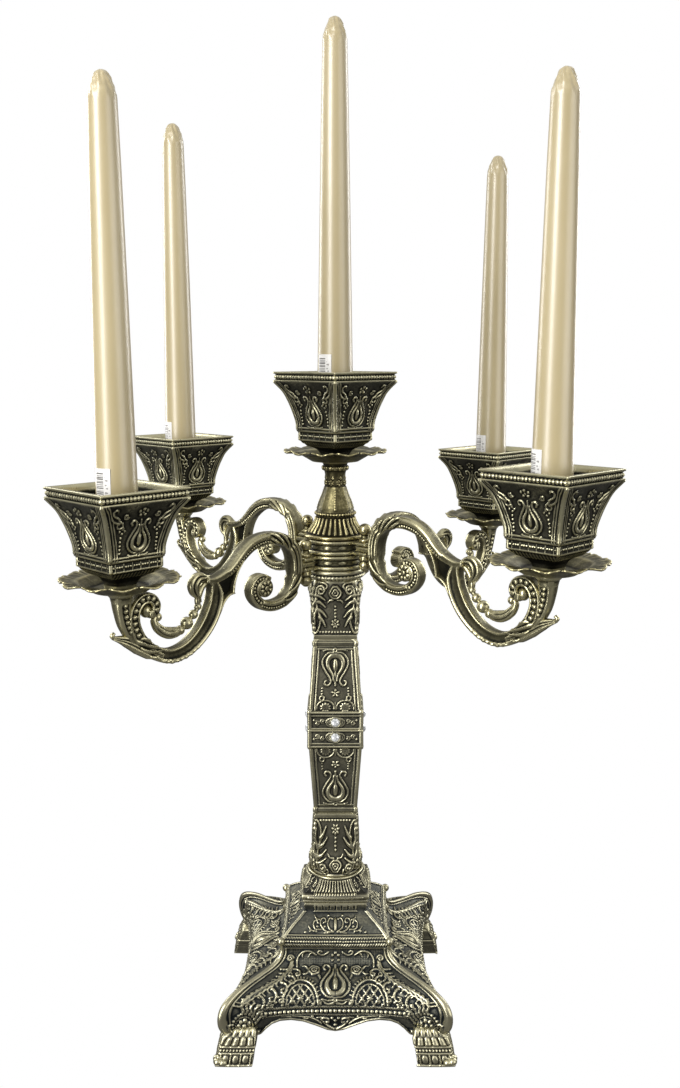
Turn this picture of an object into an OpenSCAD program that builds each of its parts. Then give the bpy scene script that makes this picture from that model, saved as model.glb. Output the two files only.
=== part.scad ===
// Five-light tabletop candelabra in cast brass: a claw-footed square base, a square
// stem on a central rod, two swivelling crossbars of scrolled arms, and square cups.
// Z is up, the origin is on the table under the rod, and the base's front faces -Y.

/* [Base] */
// Side of the square that the four feet cover
base_side = 150; // [146:1:160]
// Height of the feet
foot_h = 24; // [22:1:26]
// Height of the base shell's top above the table
base_h = 80.4; // [79:0.2:84]
// Thickness of the cast walls
wall = 2.6; // [2:0.2:3.2]

/* [Stem] */
// Height of the plinth
plinth_h = 16.5; // [15.5:0.5:18]
// Length of the flare below the shafts
lower_flare_len = 42.5; // [41:0.5:45]
// Length of the flare above the shafts
upper_flare_len = 38; // [36:1:40]
// Length of each of the two tapered shafts
shaft_len = 59; // [55:1:64]
// Side of the stem at its seam
stem_side = 35; // [33:0.5:37]
// Diameter of the central rod
rod_d = 8; // [6:0.5:9]

/* [Hub] */
// Diameter of the arm rings
ring_d = 40; // [38:0.5:42]
// Height of each arm ring
ring_h = 9.5; // [9:0.1:10.5]
// Height of the neck from the upper arm ring to the centre saucer
neck_h = 48; // [46:1:54]

/* [Arms] */
// Distance from the rod's axis to an outer cup's axis
arm_reach = 161; // [158:1:166]
// Thickness of an arm from side to side
arm_t = 8.6; // [7.6:0.2:9.4]

/* [Cups and candles] */
// Side of a cup at its rim
cup_side = 54.2; // [53:0.2:56]
// Height of a cup's rim above its saucer's seat
cup_h = 55.5; // [55:0.5:57]
// Diameter of a saucer
saucer_d = 66; // [62:1:68]
// Diameter of a candle's base
candle_d = 22; // [20.5:0.5:22]
// Length of a candle
candle_len = 247; // [180:1:260]

/* [Hidden] */

fine = 96;
small = 48;
past = 1;                                     // how far a cutter runs past a face

// Heights above the table, stacked from the bottom
plinth_z = base_h;
stem_z = plinth_z + plinth_h;
seam_z = stem_z + lower_flare_len + shaft_len;
cap_z = seam_z + shaft_len + upper_flare_len;
cap_h = 7;
lower_ring_z = cap_z + cap_h;
upper_ring_z = lower_ring_z + ring_h;
neck_z = upper_ring_z + ring_h;
centre_seat_z = neck_z + neck_h;
seat_above_ring = 4.5;                        // an outer saucer's seat above its ring's middle
lower_seat_z = lower_ring_z + ring_h / 2 + seat_above_ring;
upper_seat_z = upper_ring_z + ring_h / 2 + seat_above_ring;

// Fits
turn_gap = 0.1;                               // between faces that slide on each other
run_fit = 0.08;                               // radial clearance of a turning fit
pass_fit = 0.3;                               // radial clearance where the rod only passes
rod_r = rod_d / 2;

// Stem
seam_half = stem_side / 2;
band_half = 0.76 * seam_half;                 // at the narrow bands
flare_half = 0.91 * seam_half;                // at the flares' outer ends
waist_band_h = 10;                            // from the seam to the fillet of a shaft
stem_hole = 16;                               // side of the square hole through the stem
bowl_depth = 2;                               // how deep the stem's foot sits in the plinth

// Fork and tongue that join a ring and an arm
fork_gap = 3.4;
fork_t = 2.7;
fork_reach = 30;
tongue_start = 22;
pin_rho = 26;
pin_r = 1.6;

// Cup and candle
cup_wall = 1.8;
cup_scale = cup_side / 54.2;
foot_r = 9;
saucer_seat_t = 1.4;
cup_floor_z = 12.2;
screw_r = 2.5;
screw_hole_depth = 14;
candle_seat_z = 14;
candle_r = candle_d / 2;
candle_fit = 0.3;

// Crystals
crystal_r = 2.8;
crystal_from_seam = 5;

// Points of a smooth curve through the points p, n steps from each to the next
function blend(a, b, c, d, t) =
  0.5 * (2 * b + (c - a) * t + (2 * a - 5 * b + 4 * c - d) * t * t
  + (3 * b - a - 3 * c + d) * t * t * t);
function curve(p, n) = let (m = len(p) - 1) concat(
  [for (i = [0 : m - 1]) for (k = [0 : n - 1])
    blend(p[max(i - 1, 0)], p[i], p[i + 1], p[min(i + 2, m)], k / n)],
  [p[m]]);

// Outline of a band that follows the points p, w0 wide at its start and w1 at its end
function heading(p, i) =
  let (d = p[min(i + 1, len(p) - 1)] - p[max(i - 1, 0)]) [d[0], d[1]] / norm(d);
function side(p, i, w) = let (h = heading(p, i)) p[i] + [-h[1], h[0]] * w / 2;
function band(p, w0, w1) = let (n = len(p) - 1) concat(
  [for (i = [0 : n]) side(p, i, w0 + (w1 - w0) * i / n)],
  [for (i = [n : -1 : 0]) side(p, i, -w0 - (w1 - w0) * i / n)]);

// A square body whose silhouette from the front and from the side is the profile,
// a list of [half width, height] from bottom to top
module square_turned(profile) {
  n = len(profile);
  reach = 4 * max([for (q = profile) q[0]]);
  outline = concat(profile, [for (i = [n - 1 : -1 : 0]) [-profile[i][0], profile[i][1]]]);
  intersection() {
    rotate([90, 0, 0]) linear_extrude(reach, center = true) polygon(outline);
    rotate([90, 0, 90]) linear_extrude(reach, center = true) polygon(outline);
  }
}

// The same body with its four edges cut to narrow flats
module chamfered_square(profile, cut = 1.36) {
  intersection() {
    square_turned(profile);
    rotate([0, 0, 45]) square_turned([for (q = profile) [q[0] * cut, q[1]]]);
  }
}

module on_arm(angle) {
  rotate([0, 0, angle]) children();
}

module at_cup(angle, seat_z) {
  rotate([0, 0, angle]) translate([arm_reach, 0, seat_z]) rotate([0, 0, -angle]) children();
}

// ---- base ----

rib_profile = curve([
  [70.4, foot_h + 1], [71.6, 31.2], [68.8, 37.5], [64.2, 40.7], [58, 43], [49.7, 44.4], [42, 46.2],
  [37, 49.5], [34.8, 54], [35.4, 60], [33.4, 63.6], [28.7, 68], [24, 71.6], [20.8, 74.2]], 2);
top_band_half = 20.4;
apron_z = 22.4;
apron_drop_z = 13.7;
side_middle = 59;                              // half width at the middle of a hollowed side
side_r = 97;

// What the four hollowed sides take away; grow moves the cut outwards and down
module side_hollows(grow = 0) {
  for (a = [0 : 90 : 270]) rotate([0, 0, a]) translate([0, side_middle + side_r, 0])
    rotate_extrude($fn = 2 * fine) intersection() {
      offset(delta = grow) polygon([[0, -past], [side_r, -past], [side_r, 31], [side_r + 0.6, 34],
        [side_r + 2.6, 37], [side_r + 6.6, 40.6], [side_r + 12.7, 43.2], [side_r + 18, 46.6],
        [side_r + 18, 60], [0, 60]]);
      translate([0, -10]) square([200, 100]);
    }
}

module base_shell() {
  inner_half = 70 - wall;
  color([0.42, 0.38, 0.27])
  difference() {
    chamfered_square(concat([[70, apron_drop_z], [70.2, foot_h]], rib_profile,
      [[top_band_half, 74.6], [top_band_half, base_h - 1.6], [top_band_half - 0.7, base_h - 1.4],
      [top_band_half - 0.7, base_h]]), 1.37);
    side_hollows();
    // the hollow under the shell
    difference() {
      translate([0, 0, -0.6 * wall])
        square_turned(concat([[inner_half, 0], [inner_half, foot_h + 6]],
          [for (q = rib_profile) if (q[1] > foot_h + 8) [q[0] - wall, q[1] - wall]],
          [[top_band_half - 1.2 * wall, base_h - 2.4 * wall]]));
      side_hollows(wall);
    }
    // room for the feet
    for (a = [0 : 90 : 270]) rotate([0, 0, a])
      translate([foot_inner, foot_inner, -past]) cube([60, 60, foot_h + past]);
    // arches between the feet, with a drop left in the middle
    for (a = [0, 90]) rotate([0, 0, a]) for (s = [0, 1]) mirror([s, 0, 0])
      rotate([90, 0, 0]) linear_extrude(200, center = true)
        polygon([[5, 0], [5, apron_drop_z + 1.5], [14, apron_z - 3], [24, apron_z],
          [36, apron_z], [foot_inner, foot_h], [foot_inner, 0]]);
    translate([0, 0, base_h / 2]) cylinder(r = rod_r + pass_fit, h = base_h, $fn = fine);
  }
}

// A claw foot at +X +Y: a toed paw below, a smaller block above
foot_inner = base_side / 2 - 27;
module foot() {
  outer = base_side / 2;
  paw_h = 0.5 * foot_h;
  toe_r = 3.9;
  color([0.55, 0.49, 0.33])
  translate([foot_inner, foot_inner, 0]) {
    cube([24, 24, paw_h]);
    translate([0, 0, paw_h]) linear_extrude(foot_h - paw_h)
      polygon([[0, 0], [20, 0], [23, 6], [23, 18], [18, 23], [6, 23], [0, 20]]);
    for (swap = [0, 1]) mirror([swap, -swap, 0]) for (k = [0 : 2])
      translate([outer - foot_inner - toe_r, toe_r + 0.3 + 7.8 * k, 0])
        cylinder(r = toe_r, h = paw_h - 1, $fn = small);
  }
}

module foot_front_left() { mirror([1, 0, 0]) mirror([0, 1, 0]) foot(); }
module foot_front_right() { mirror([0, 1, 0]) foot(); }
module foot_back_left() { mirror([1, 0, 0]) foot(); }
module foot_back_right() { foot(); }

// ---- stem ----

// A low square cushion with a moulded rim, which rises to a round seat for the stem
module plinth() {
  bowl_r = 17;
  seat_r = 18.6;
  rim_h = 6.4;
  color([0.45, 0.41, 0.28])
  difference() {
    intersection() {
      translate([0, 0, plinth_z]) square_turned([[21.4, 0], [22.4, 1], [22.8, 3.4], [23.4, 4.4],
        [23.2, rim_h], [22.2, rim_h + 0.4], [20.6, rim_h + 3.2], [19.4, rim_h + 6.4],
        [seat_r, plinth_h - 1], [seat_r, plinth_h]]);
      translate([0, 0, plinth_z]) rotate_extrude($fn = fine)
        polygon([[0, -past], [30.4, -past], [30.4, rim_h], [29, rim_h + 0.6], [24, rim_h + 4.4],
          [20.4, rim_h + 7.6], [seat_r, plinth_h - 1], [seat_r, plinth_h + past],
          [0, plinth_h + past]]);
    }
    translate([0, 0, stem_z - bowl_depth])
      cylinder(r = bowl_r, h = bowl_depth + past, $fn = fine);
    translate([0, 0, plinth_z - past])
      cylinder(r = rod_r + pass_fit, h = plinth_h + 2 * past, $fn = fine);
  }
}

// A flare with its narrow end down, at z = 0
module flare(length) {
  difference() {
    chamfered_square(curve([[band_half + 0.6, 0], [band_half, 3], [band_half, 6],
      [band_half + 1.1, 0.37 * length], [band_half + 1.2, 0.57 * length],
      [flare_half - 0.4, 0.74 * length], [flare_half, 0.88 * length],
      [flare_half - 0.6, length]], 2));
    translate([0, 0, length / 2]) cube([stem_hole, stem_hole, length + 2 * past],
      center = true);
  }
}

// A shaft with its wide end down, at the seam, z = 0
module shaft() {
  fillet = 0.4;
  difference() {
    chamfered_square([[seam_half - 0.3, 0], [seam_half, 1], [seam_half - 0.2, waist_band_h - 1],
      [seam_half + fillet, waist_band_h], [seam_half + fillet - 0.6, waist_band_h + 2],
      [seam_half - 1.4, waist_band_h + 3], [band_half + 0.2, shaft_len - 4],
      [band_half + 0.8, shaft_len - 2], [band_half + 0.6, shaft_len]]);
    translate([0, 0, shaft_len / 2]) cube([stem_hole, stem_hole, shaft_len + 2 * past],
      center = true);
    // a seat for one crystal in each face
    for (a = [0 : 90 : 270]) rotate([0, 0, a])
      translate([0, -crystal_face, crystal_from_seam]) rotate([90, 0, 0])
        cylinder(r = crystal_r, h = seam_half, $fn = small);
  }
}

module stem_upper_shaft() { color([0.38, 0.35, 0.25]) translate([0, 0, seam_z]) shaft(); }
module stem_lower_shaft() {
  color([0.38, 0.35, 0.25]) translate([0, 0, seam_z]) mirror([0, 0, 1]) shaft();
}
module stem_upper_flare() {
  color([0.45, 0.41, 0.28]) translate([0, 0, seam_z + shaft_len]) flare(upper_flare_len);
}
module stem_lower_flare() {
  foot_ring_r = 16.4;
  color([0.45, 0.41, 0.28]) {
    translate([0, 0, seam_z - shaft_len]) mirror([0, 0, 1]) flare(lower_flare_len);
    // the round foot that sits in the plinth's bowl
    difference() {
      translate([0, 0, stem_z - bowl_depth]) cylinder(r = foot_ring_r, h = 4, $fn = fine);
      translate([0, 0, stem_z]) cube([stem_hole, stem_hole, 20], center = true);
    }
  }
}

// Faceted crystals, one on each face
crystal_face = seam_half - 1.8;
module crystals() {
  for (a = [0 : 90 : 270]) rotate([0, 0, a])
    translate([0, -crystal_face, 0]) rotate([90, 0, 0]) {
      cylinder(r = crystal_r - 0.1, h = 1.6, $fn = small);
      translate([0, 0, 1.6]) cylinder(r1 = crystal_r - 0.1, r2 = 1.5, h = 1.2, $fn = 8);
    }
}
module crystals_upper() {
  color([0.9, 0.93, 0.95]) translate([0, 0, seam_z + crystal_from_seam]) crystals();
}
module crystals_lower() {
  color([0.9, 0.93, 0.95]) translate([0, 0, seam_z - crystal_from_seam]) crystals();
}

// ---- hub ----

module hub_cap_ring() {
  color([0.50, 0.45, 0.30])
  translate([0, 0, cap_z]) rotate_extrude($fn = fine)
    polygon([[rod_r + pass_fit, 0], [17.5, 0], [19.4, 1.4], [19.6, cap_h / 2], [19, cap_h - 1],
      [18, cap_h], [rod_r + pass_fit, cap_h]]);
}

// A ring with two torus beads and, at each end of its crossbar, a fork of two plates
module arm_ring(angle) {
  r = ring_d / 2;
  h = ring_h - turn_gap;
  plate_z = fork_gap / 2;
  difference() {
    union() {
      rotate_extrude($fn = fine)
        polygon([[rod_r + run_fit, -h / 2], [r - 1.6, -h / 2], [r - 0.3, -h / 2 + 0.8],
          [r - 0.3, -h / 2 + 2], [r - 1.6, -h / 2 + 2.8], [r - 1.6, h / 2 - 2.8],
          [r - 0.3, h / 2 - 2], [r - 0.3, h / 2 - 0.8], [r - 1.6, h / 2], [rod_r + run_fit, h / 2]]);
      for (a = [angle, angle + 180]) rotate([0, 0, a]) for (s = [0, 1]) mirror([0, 0, s])
        translate([r - 4, -arm_t / 2, plate_z]) cube([fork_reach - r + 4, arm_t, fork_t]);
    }
    for (a = [angle, angle + 180]) rotate([0, 0, a]) {
      translate([pin_rho, 0, -ring_h]) cylinder(r = pin_r + 0.05, h = 2 * ring_h, $fn = small);
      translate([tongue_start - 1.2, -arm_t, -plate_z]) cube([20, 2 * arm_t, fork_gap]);
    }
  }
}
module arm_ring_lower() {
  color([0.50, 0.45, 0.30]) translate([0, 0, lower_ring_z + ring_h / 2]) arm_ring(45);
}
module arm_ring_upper() {
  color([0.50, 0.45, 0.30]) translate([0, 0, upper_ring_z + ring_h / 2]) arm_ring(-45);
}

// The fluted bell between the rings and the centre saucer
module neck() {
  flutes = 24;
  skirt_r = 16.9;
  color([0.47, 0.42, 0.29])
  translate([0, 0, neck_z + turn_gap]) difference() {
    rotate_extrude($fn = fine) polygon(concat(
      [[rod_r + pass_fit, 0], [19.6, 0], [20, 1.2], [19.4, 2.4], [skirt_r, 2.6]],
      curve([[skirt_r - 0.4, 3.6], [13.7, 7.1], [11.7, 11.5], [12, 15.5], [10.8, 20],
        [8.5, 26.3], [6.2, 32], [6.6, 34.5], [5.9, 37], [6.1, 41], [7.6, 43.5],
        [8.2, 46.5], [8.2, neck_h - turn_gap]], 3),
      [[0, neck_h - turn_gap], [0, neck_h - screw_hole_depth - 6],
        [rod_r + pass_fit, neck_h - screw_hole_depth - 6]]));
    for (k = [0 : flutes - 1]) rotate([0, 0, k * 360 / flutes])
      translate([skirt_r + 0.2, 0, 2.6]) cylinder(r = 1.1, h = 9, $fn = 16);
    translate([0, 0, neck_h - turn_gap - screw_hole_depth])
      cylinder(r = screw_r + 0.05, h = screw_hole_depth + past, $fn = small);
  }
}

// ---- rod ----

washer_t = 1.6;
nut_t = 6.5;
plate_under_z = base_h - 3 * wall;            // underside of the base's top plate
rod_bottom_z = plate_under_z - washer_t - nut_t - 4;
module central_rod() {
  rod_top_z = centre_seat_z - screw_hole_depth - 6.5;
  color([0.62, 0.62, 0.60]) translate([0, 0, rod_bottom_z])
    cylinder(r = rod_r, h = rod_top_z - rod_bottom_z, $fn = fine);
}
module rod_washer() {
  color([0.66, 0.66, 0.64]) translate([0, 0, plate_under_z - washer_t]) difference() {
    cylinder(r = 11, h = washer_t, $fn = fine);
    translate([0, 0, -past]) cylinder(r = rod_r + pass_fit, h = washer_t + 2 * past, $fn = fine);
  }
}
module rod_nut() {
  color([0.60, 0.60, 0.58]) translate([0, 0, plate_under_z - washer_t - nut_t]) difference() {
    cylinder(r = 7.5, h = nut_t, $fn = 6);
    translate([0, 0, -past]) cylinder(r = rod_r + 0.05, h = nut_t + 2 * past, $fn = fine);
  }
}

// ---- arms ----
// The outlines are in the arm's own plane: [distance from the rod, height above the ring's middle]

strap = [[36.3, -10], [36.2, 8]];
upper_scroll = curve([[36.6, 6], [38.6, 12.5], [43.5, 18], [50, 21.3], [57, 22.3], [64, 22],
  [71, 19.8], [77, 15.4], [83, 8], [89, 1.5], [93, -3]], 2);
lower_scroll = curve([[36.6, -7], [38.6, -14], [44, -19], [51, -21.3], [58, -21.2], [64.5, -18.8],
  [69.5, -14], [71, -8.5], [68.5, -4], [63.5, -2.4], [58.5, -4]], 2);
long_scroll = curve([[93, -1], [95.5, -9], [100, -18], [106, -27], [113, -34.5], [121, -37.6],
  [130, -37.6], [138.5, -34.6], [146, -29.5], [152.3, -22.5], [154.8, -14], [153, -6],
  [147.5, -3.2], [142.5, -4.6], [140, -8.8]], 2);
leaf = curve([[146, -31], [153, -27], [160, -23], [167, -20.5]], 2);
hook = curve([[102, -3], [105, -10], [108, -14], [111, -11], [113, -5]], 2);
swag = [[107.5, -15.1, 2], [112.3, -18.2, 2.2], [117.5, -22, 2.6], [121.6, -25.7, 2.2],
  [138, -16.1, 2.5]];
swag_strand = curve([[104, -7], [107.5, -15.1], [112.3, -18.2], [117.5, -22], [121.6, -25.7],
  [129, -28], [137, -26.5], [140.5, -21], [138, -16.1], [142, -12]], 2);

module arm_outline() {
  // the tongue that fits the ring's fork
  translate([tongue_start, -fork_gap / 2 + 0.1]) square([36 - tongue_start, fork_gap - 0.2]);
  polygon(band(strap, 6.6, 6.6));
  polygon(band(upper_scroll, 6.2, 7));
  polygon(band(lower_scroll, 6.2, 5));
  translate([60.6, -7]) circle(5.2, $fn = 12);
  // the knee between the two scrolls
  translate([87, -10.5]) square([13.5, 14]);
  polygon(band(long_scroll, 11, 5));
  translate([143.1, -11.4]) circle(3.4, $fn = 12);
  polygon(band(leaf, 7, 4));
  // the curled hook above the long scroll
  polygon(band(hook, 2.4, 2.4));
}

module swag_outline() {
  polygon(band(swag_strand, 2.2, 2.2));
  for (b = swag) translate([b[0], b[1]]) circle(b[2], $fn = 12);
}

module arm() {
  stem_low = -19;
  swag_t = 4;
  color([0.52, 0.46, 0.30])
  difference() {
    union() {
      rotate([90, 0, 0]) linear_extrude(arm_t, center = true) arm_outline();
      rotate([90, 0, 0]) linear_extrude(swag_t, center = true) swag_outline();
      // the post that carries the saucer and the cup
      translate([arm_reach, 0, 0]) rotate_extrude($fn = small)
        polygon([[0, stem_low - 1], [2.4, stem_low], [4.7, stem_low + 2], [5, -4], [6.4, -0.5],
          [7.5, 1.5], [7.5, seat_above_ring], [0, seat_above_ring]]);
    }
    translate([pin_rho, 0, -ring_h]) cylinder(r = pin_r + 0.05, h = 2 * ring_h, $fn = small);
    translate([arm_reach, 0, seat_above_ring - screw_hole_depth])
      cylinder(r = screw_r + 0.05, h = screw_hole_depth + past, $fn = small);
  }
}

// The pin through fork and tongue, with its collar and ball head
module arm_pin() {
  plate_top = fork_gap / 2 + fork_t;
  color([0.62, 0.55, 0.36]) translate([pin_rho, 0, 0]) {
    rotate_extrude($fn = small)
      polygon([[0, -plate_top - 7], [pin_r, -plate_top - 7], [pin_r, plate_top],
        [3.4, plate_top], [3.8, plate_top + 1.4], [2.4, plate_top + 2.6], [2.2, plate_top + 4.6],
        [0, plate_top + 4.6]]);
    translate([0, 0, plate_top + 7.6]) sphere(3.9, $fn = small);
  }
}
module pin_nut() {
  plate_low = -fork_gap / 2 - fork_t;
  color([0.55, 0.49, 0.33]) translate([pin_rho, 0, plate_low]) rotate_extrude($fn = small)
    polygon([[pin_r + 0.05, 0], [3.4, 0], [3.8, -2.4], [2.8, -3.4], [3.9, -5.6], [3.6, -8],
      [1.2, -10], [0, -10], [0, -7.4], [pin_r + 0.05, -7.4]]);
}

module raise_lower() { translate([0, 0, lower_ring_z + ring_h / 2]) children(); }
module raise_upper() { translate([0, 0, upper_ring_z + ring_h / 2]) children(); }
FL = 225;
BR = 45;
FR = -45;
BL = 135;
module arm_front_left() { raise_lower() on_arm(FL) arm(); }
module arm_back_right() { raise_lower() on_arm(BR) arm(); }
module arm_front_right() { raise_upper() on_arm(FR) arm(); }
module arm_back_left() { raise_upper() on_arm(BL) arm(); }
module arm_pin_front_left() { raise_lower() on_arm(FL) arm_pin(); }
module arm_pin_back_right() { raise_lower() on_arm(BR) arm_pin(); }
module arm_pin_front_right() { raise_upper() on_arm(FR) arm_pin(); }
module arm_pin_back_left() { raise_upper() on_arm(BL) arm_pin(); }
module pin_nut_front_left() { raise_lower() on_arm(FL) pin_nut(); }
module pin_nut_back_right() { raise_lower() on_arm(BR) pin_nut(); }
module pin_nut_front_right() { raise_upper() on_arm(FR) pin_nut(); }
module pin_nut_back_left() { raise_upper() on_arm(BL) pin_nut(); }

// ---- saucers, cups, sockets, screws, candles: each drawn with its seat at z = 0 ----

module saucer() {
  r = saucer_d / 2;
  color([0.50, 0.45, 0.30])
  rotate_extrude($fn = fine)
    polygon([[screw_r + 0.05, 0], [14.8, 0], [17, 0.8], [24, 3.6], [30, 6], [r, 7.2],
      [r, 8.3], [29.6, 7.3], [23.4, 4.9], [16.4, 2.2], [14.4, saucer_seat_t],
      [screw_r + 0.05, saucer_seat_t]]);
}

cup_outside = [[10.4, 8.5], [13.6, 10.8], [15.6, 13.5], [16.6, 18.5], [17.2, 25], [18.8, 31.5],
  [20.4, 37.5], [22.8, 43.5], [27.1, 49.5], [27.1, cup_h]];
module cup() {
  seat = saucer_seat_t + turn_gap;
  outside = [for (q = cup_outside) [q[0] * cup_scale, q[1]]];
  color([0.42, 0.39, 0.28])
  rotate([0, 0, 45]) difference() {
    union() {
      square_turned(outside);
      translate([0, 0, seat]) cylinder(r = foot_r, h = cup_floor_z - seat, $fn = small);
    }
    square_turned(concat([[candle_r + candle_fit + 1.2, cup_floor_z]],
      [for (q = outside) if (q[1] > 13) [q[0] - cup_wall - (q[1] > 49 ? 0.7 : 0), q[1]]],
      [[outside[9][0] - cup_wall - 0.7, cup_h + past]]));
    cylinder(r = screw_r + run_fit, h = cup_floor_z + past, $fn = small);
  }
}

module socket() {
  tube_h = 22;
  color([0.60, 0.53, 0.34])
  translate([0, 0, cup_floor_z]) difference() {
    cylinder(r = candle_r + candle_fit + 1, h = tube_h, $fn = fine);
    translate([0, 0, candle_seat_z - cup_floor_z])
      cylinder(r = candle_r + candle_fit, h = tube_h, $fn = fine);
    translate([0, 0, -past]) cylinder(r = 5.2, h = tube_h, $fn = small);
  }
}

module screw() {
  color([0.64, 0.64, 0.62])
  rotate_extrude($fn = small)
    polygon([[0, 0.6 - screw_hole_depth], [screw_r, 0.6 - screw_hole_depth],
      [screw_r, cup_floor_z + turn_gap], [4.6, cup_floor_z + turn_gap],
      [4.4, candle_seat_z - 0.4], [0, candle_seat_z - 0.4]]);
}

// extra is how much longer or shorter this one is than candle_len
module candle(extra = 0) {
  tip = candle_len + extra;
  color([0.93, 0.90, 0.82])
  translate([0, 0, candle_seat_z]) rotate_extrude($fn = fine)
    polygon(concat([[0, 0], [candle_r - 0.4, 0], [candle_r, 0.6], [candle_r, 42]],
      curve([[candle_r - 0.1, 48], [candle_r - 1.7, 141], [7.3, tip - 13], [5.8, tip - 8],
        [3.9, tip - 3.4], [1.9, tip - 0.7], [0, tip]], 3)));
}

module saucer_centre() { translate([0, 0, centre_seat_z]) saucer(); }
module saucer_front_left() { at_cup(FL, lower_seat_z) saucer(); }
module saucer_back_right() { at_cup(BR, lower_seat_z) saucer(); }
module saucer_front_right() { at_cup(FR, upper_seat_z) saucer(); }
module saucer_back_left() { at_cup(BL, upper_seat_z) saucer(); }

module cup_centre() { translate([0, 0, centre_seat_z]) cup(); }
module cup_front_left() { at_cup(FL, lower_seat_z) cup(); }
module cup_back_right() { at_cup(BR, lower_seat_z) cup(); }
module cup_front_right() { at_cup(FR, upper_seat_z) cup(); }
module cup_back_left() { at_cup(BL, upper_seat_z) cup(); }

module socket_centre() { translate([0, 0, centre_seat_z]) socket(); }
module socket_front_left() { at_cup(FL, lower_seat_z) socket(); }
module socket_back_right() { at_cup(BR, lower_seat_z) socket(); }
module socket_front_right() { at_cup(FR, upper_seat_z) socket(); }
module socket_back_left() { at_cup(BL, upper_seat_z) socket(); }

module screw_centre() { translate([0, 0, centre_seat_z]) screw(); }
module screw_front_left() { at_cup(FL, lower_seat_z) screw(); }
module screw_back_right() { at_cup(BR, lower_seat_z) screw(); }
module screw_front_right() { at_cup(FR, upper_seat_z) screw(); }
module screw_back_left() { at_cup(BL, upper_seat_z) screw(); }

module candle_centre() { translate([0, 0, centre_seat_z]) candle(); }
module candle_front_left() { at_cup(FL, lower_seat_z) candle(); }
module candle_back_right() { at_cup(BR, lower_seat_z) candle(); }
module candle_front_right() { at_cup(FR, upper_seat_z) candle(-8); }
module candle_back_left() { at_cup(BL, upper_seat_z) candle(12); }

base_shell();
foot_front_left();
foot_front_right();
foot_back_left();
foot_back_right();
plinth();
stem_lower_flare();
stem_lower_shaft();
stem_upper_shaft();
stem_upper_flare();
crystals_lower();
crystals_upper();
hub_cap_ring();
arm_ring_lower();
arm_ring_upper();
neck();
central_rod();
rod_nut();
rod_washer();
arm_front_left();
arm_back_right();
arm_front_right();
arm_back_left();
arm_pin_front_left();
arm_pin_back_right();
arm_pin_front_right();
arm_pin_back_left();
pin_nut_front_left();
pin_nut_back_right();
pin_nut_front_right();
pin_nut_back_left();
saucer_centre();
saucer_front_left();
saucer_back_right();
saucer_front_right();
saucer_back_left();
cup_centre();
cup_front_left();
cup_back_right();
cup_front_right();
cup_back_left();
socket_centre();
socket_front_left();
socket_back_right();
socket_front_right();
socket_back_left();
screw_centre();
screw_front_left();
screw_back_right();
screw_front_right();
screw_back_left();
candle_centre();
candle_front_left();
candle_back_right();
candle_front_right();
candle_back_left();
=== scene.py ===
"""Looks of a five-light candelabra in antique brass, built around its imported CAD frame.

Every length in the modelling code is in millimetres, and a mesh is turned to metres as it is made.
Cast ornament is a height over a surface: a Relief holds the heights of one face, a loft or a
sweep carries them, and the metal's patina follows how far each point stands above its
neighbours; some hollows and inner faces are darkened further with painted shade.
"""

import math

import bpy
import mathutils
import numpy as np
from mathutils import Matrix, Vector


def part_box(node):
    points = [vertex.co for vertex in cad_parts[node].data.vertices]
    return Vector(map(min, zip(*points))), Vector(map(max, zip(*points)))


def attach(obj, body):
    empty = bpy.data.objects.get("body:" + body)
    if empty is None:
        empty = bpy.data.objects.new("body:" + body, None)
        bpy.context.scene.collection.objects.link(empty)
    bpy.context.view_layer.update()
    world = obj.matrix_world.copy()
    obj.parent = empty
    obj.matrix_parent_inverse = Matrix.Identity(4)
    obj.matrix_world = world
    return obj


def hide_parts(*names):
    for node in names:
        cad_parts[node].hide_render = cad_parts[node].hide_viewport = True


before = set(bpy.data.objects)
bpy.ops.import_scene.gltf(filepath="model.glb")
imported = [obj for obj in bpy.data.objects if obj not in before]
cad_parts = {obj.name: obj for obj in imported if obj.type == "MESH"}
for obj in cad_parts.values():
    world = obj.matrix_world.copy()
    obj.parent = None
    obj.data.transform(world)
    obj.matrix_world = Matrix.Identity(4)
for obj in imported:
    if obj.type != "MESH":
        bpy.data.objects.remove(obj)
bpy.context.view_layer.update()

MM = 0.001
TAU = 2 * math.pi
# Each arm's pair, and its angle about the stem in degrees from +X.
ARMS = {"front_left": ("lower", 225), "back_right": ("lower", 45),
        "front_right": ("upper", -45), "back_left": ("upper", 135)}


def low(node):
    """Height in mm of a CAD node's lowest point."""
    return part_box(node)[0][2] / MM


def high(node):
    """Height in mm of a CAD node's highest point."""
    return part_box(node)[1][2] / MM


# ---- curves ----

def evenly(points, step):
    """The same path with a point about every step mm."""
    p = np.asarray(points, float)
    run = np.r_[0, np.cumsum(np.linalg.norm(np.diff(p, axis=0), axis=1))]
    count = max(2, int(round(run[-1] / step)) + 1)
    at = np.linspace(0, run[-1], count)
    return np.stack([np.interp(at, run, p[:, k]) for k in range(p.shape[1])], 1)


def smooth(points, step=0.7):
    """A smooth curve through the points, with a point about every step mm."""
    p = np.asarray(points, float)
    q = np.vstack([2 * p[0] - p[1], p, 2 * p[-1] - p[-2]])
    t = np.linspace(0, 1, 16, endpoint=False)[:, None]
    out = []
    for i in range(len(p) - 1):
        a, b, c, d = q[i:i + 4]
        out.append(0.5 * (2 * b + (c - a) * t + (2 * a - 5 * b + 4 * c - d) * t ** 2
                          + (3 * b - a - 3 * c + d) * t ** 3))
    return evenly(np.vstack(out + [p[-1:]]), step)


def spiral(cx, cy, r, start, turns):
    """Points of a curl that winds from radius r to a quarter of it; start is in degrees."""
    k = np.linspace(0, 1, 14)
    a = math.radians(start) + TAU * turns * k
    rr = r * (1 - 0.75 * k)
    return np.stack([cx + rr * np.cos(a), cy + rr * np.sin(a)], 1)


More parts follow.
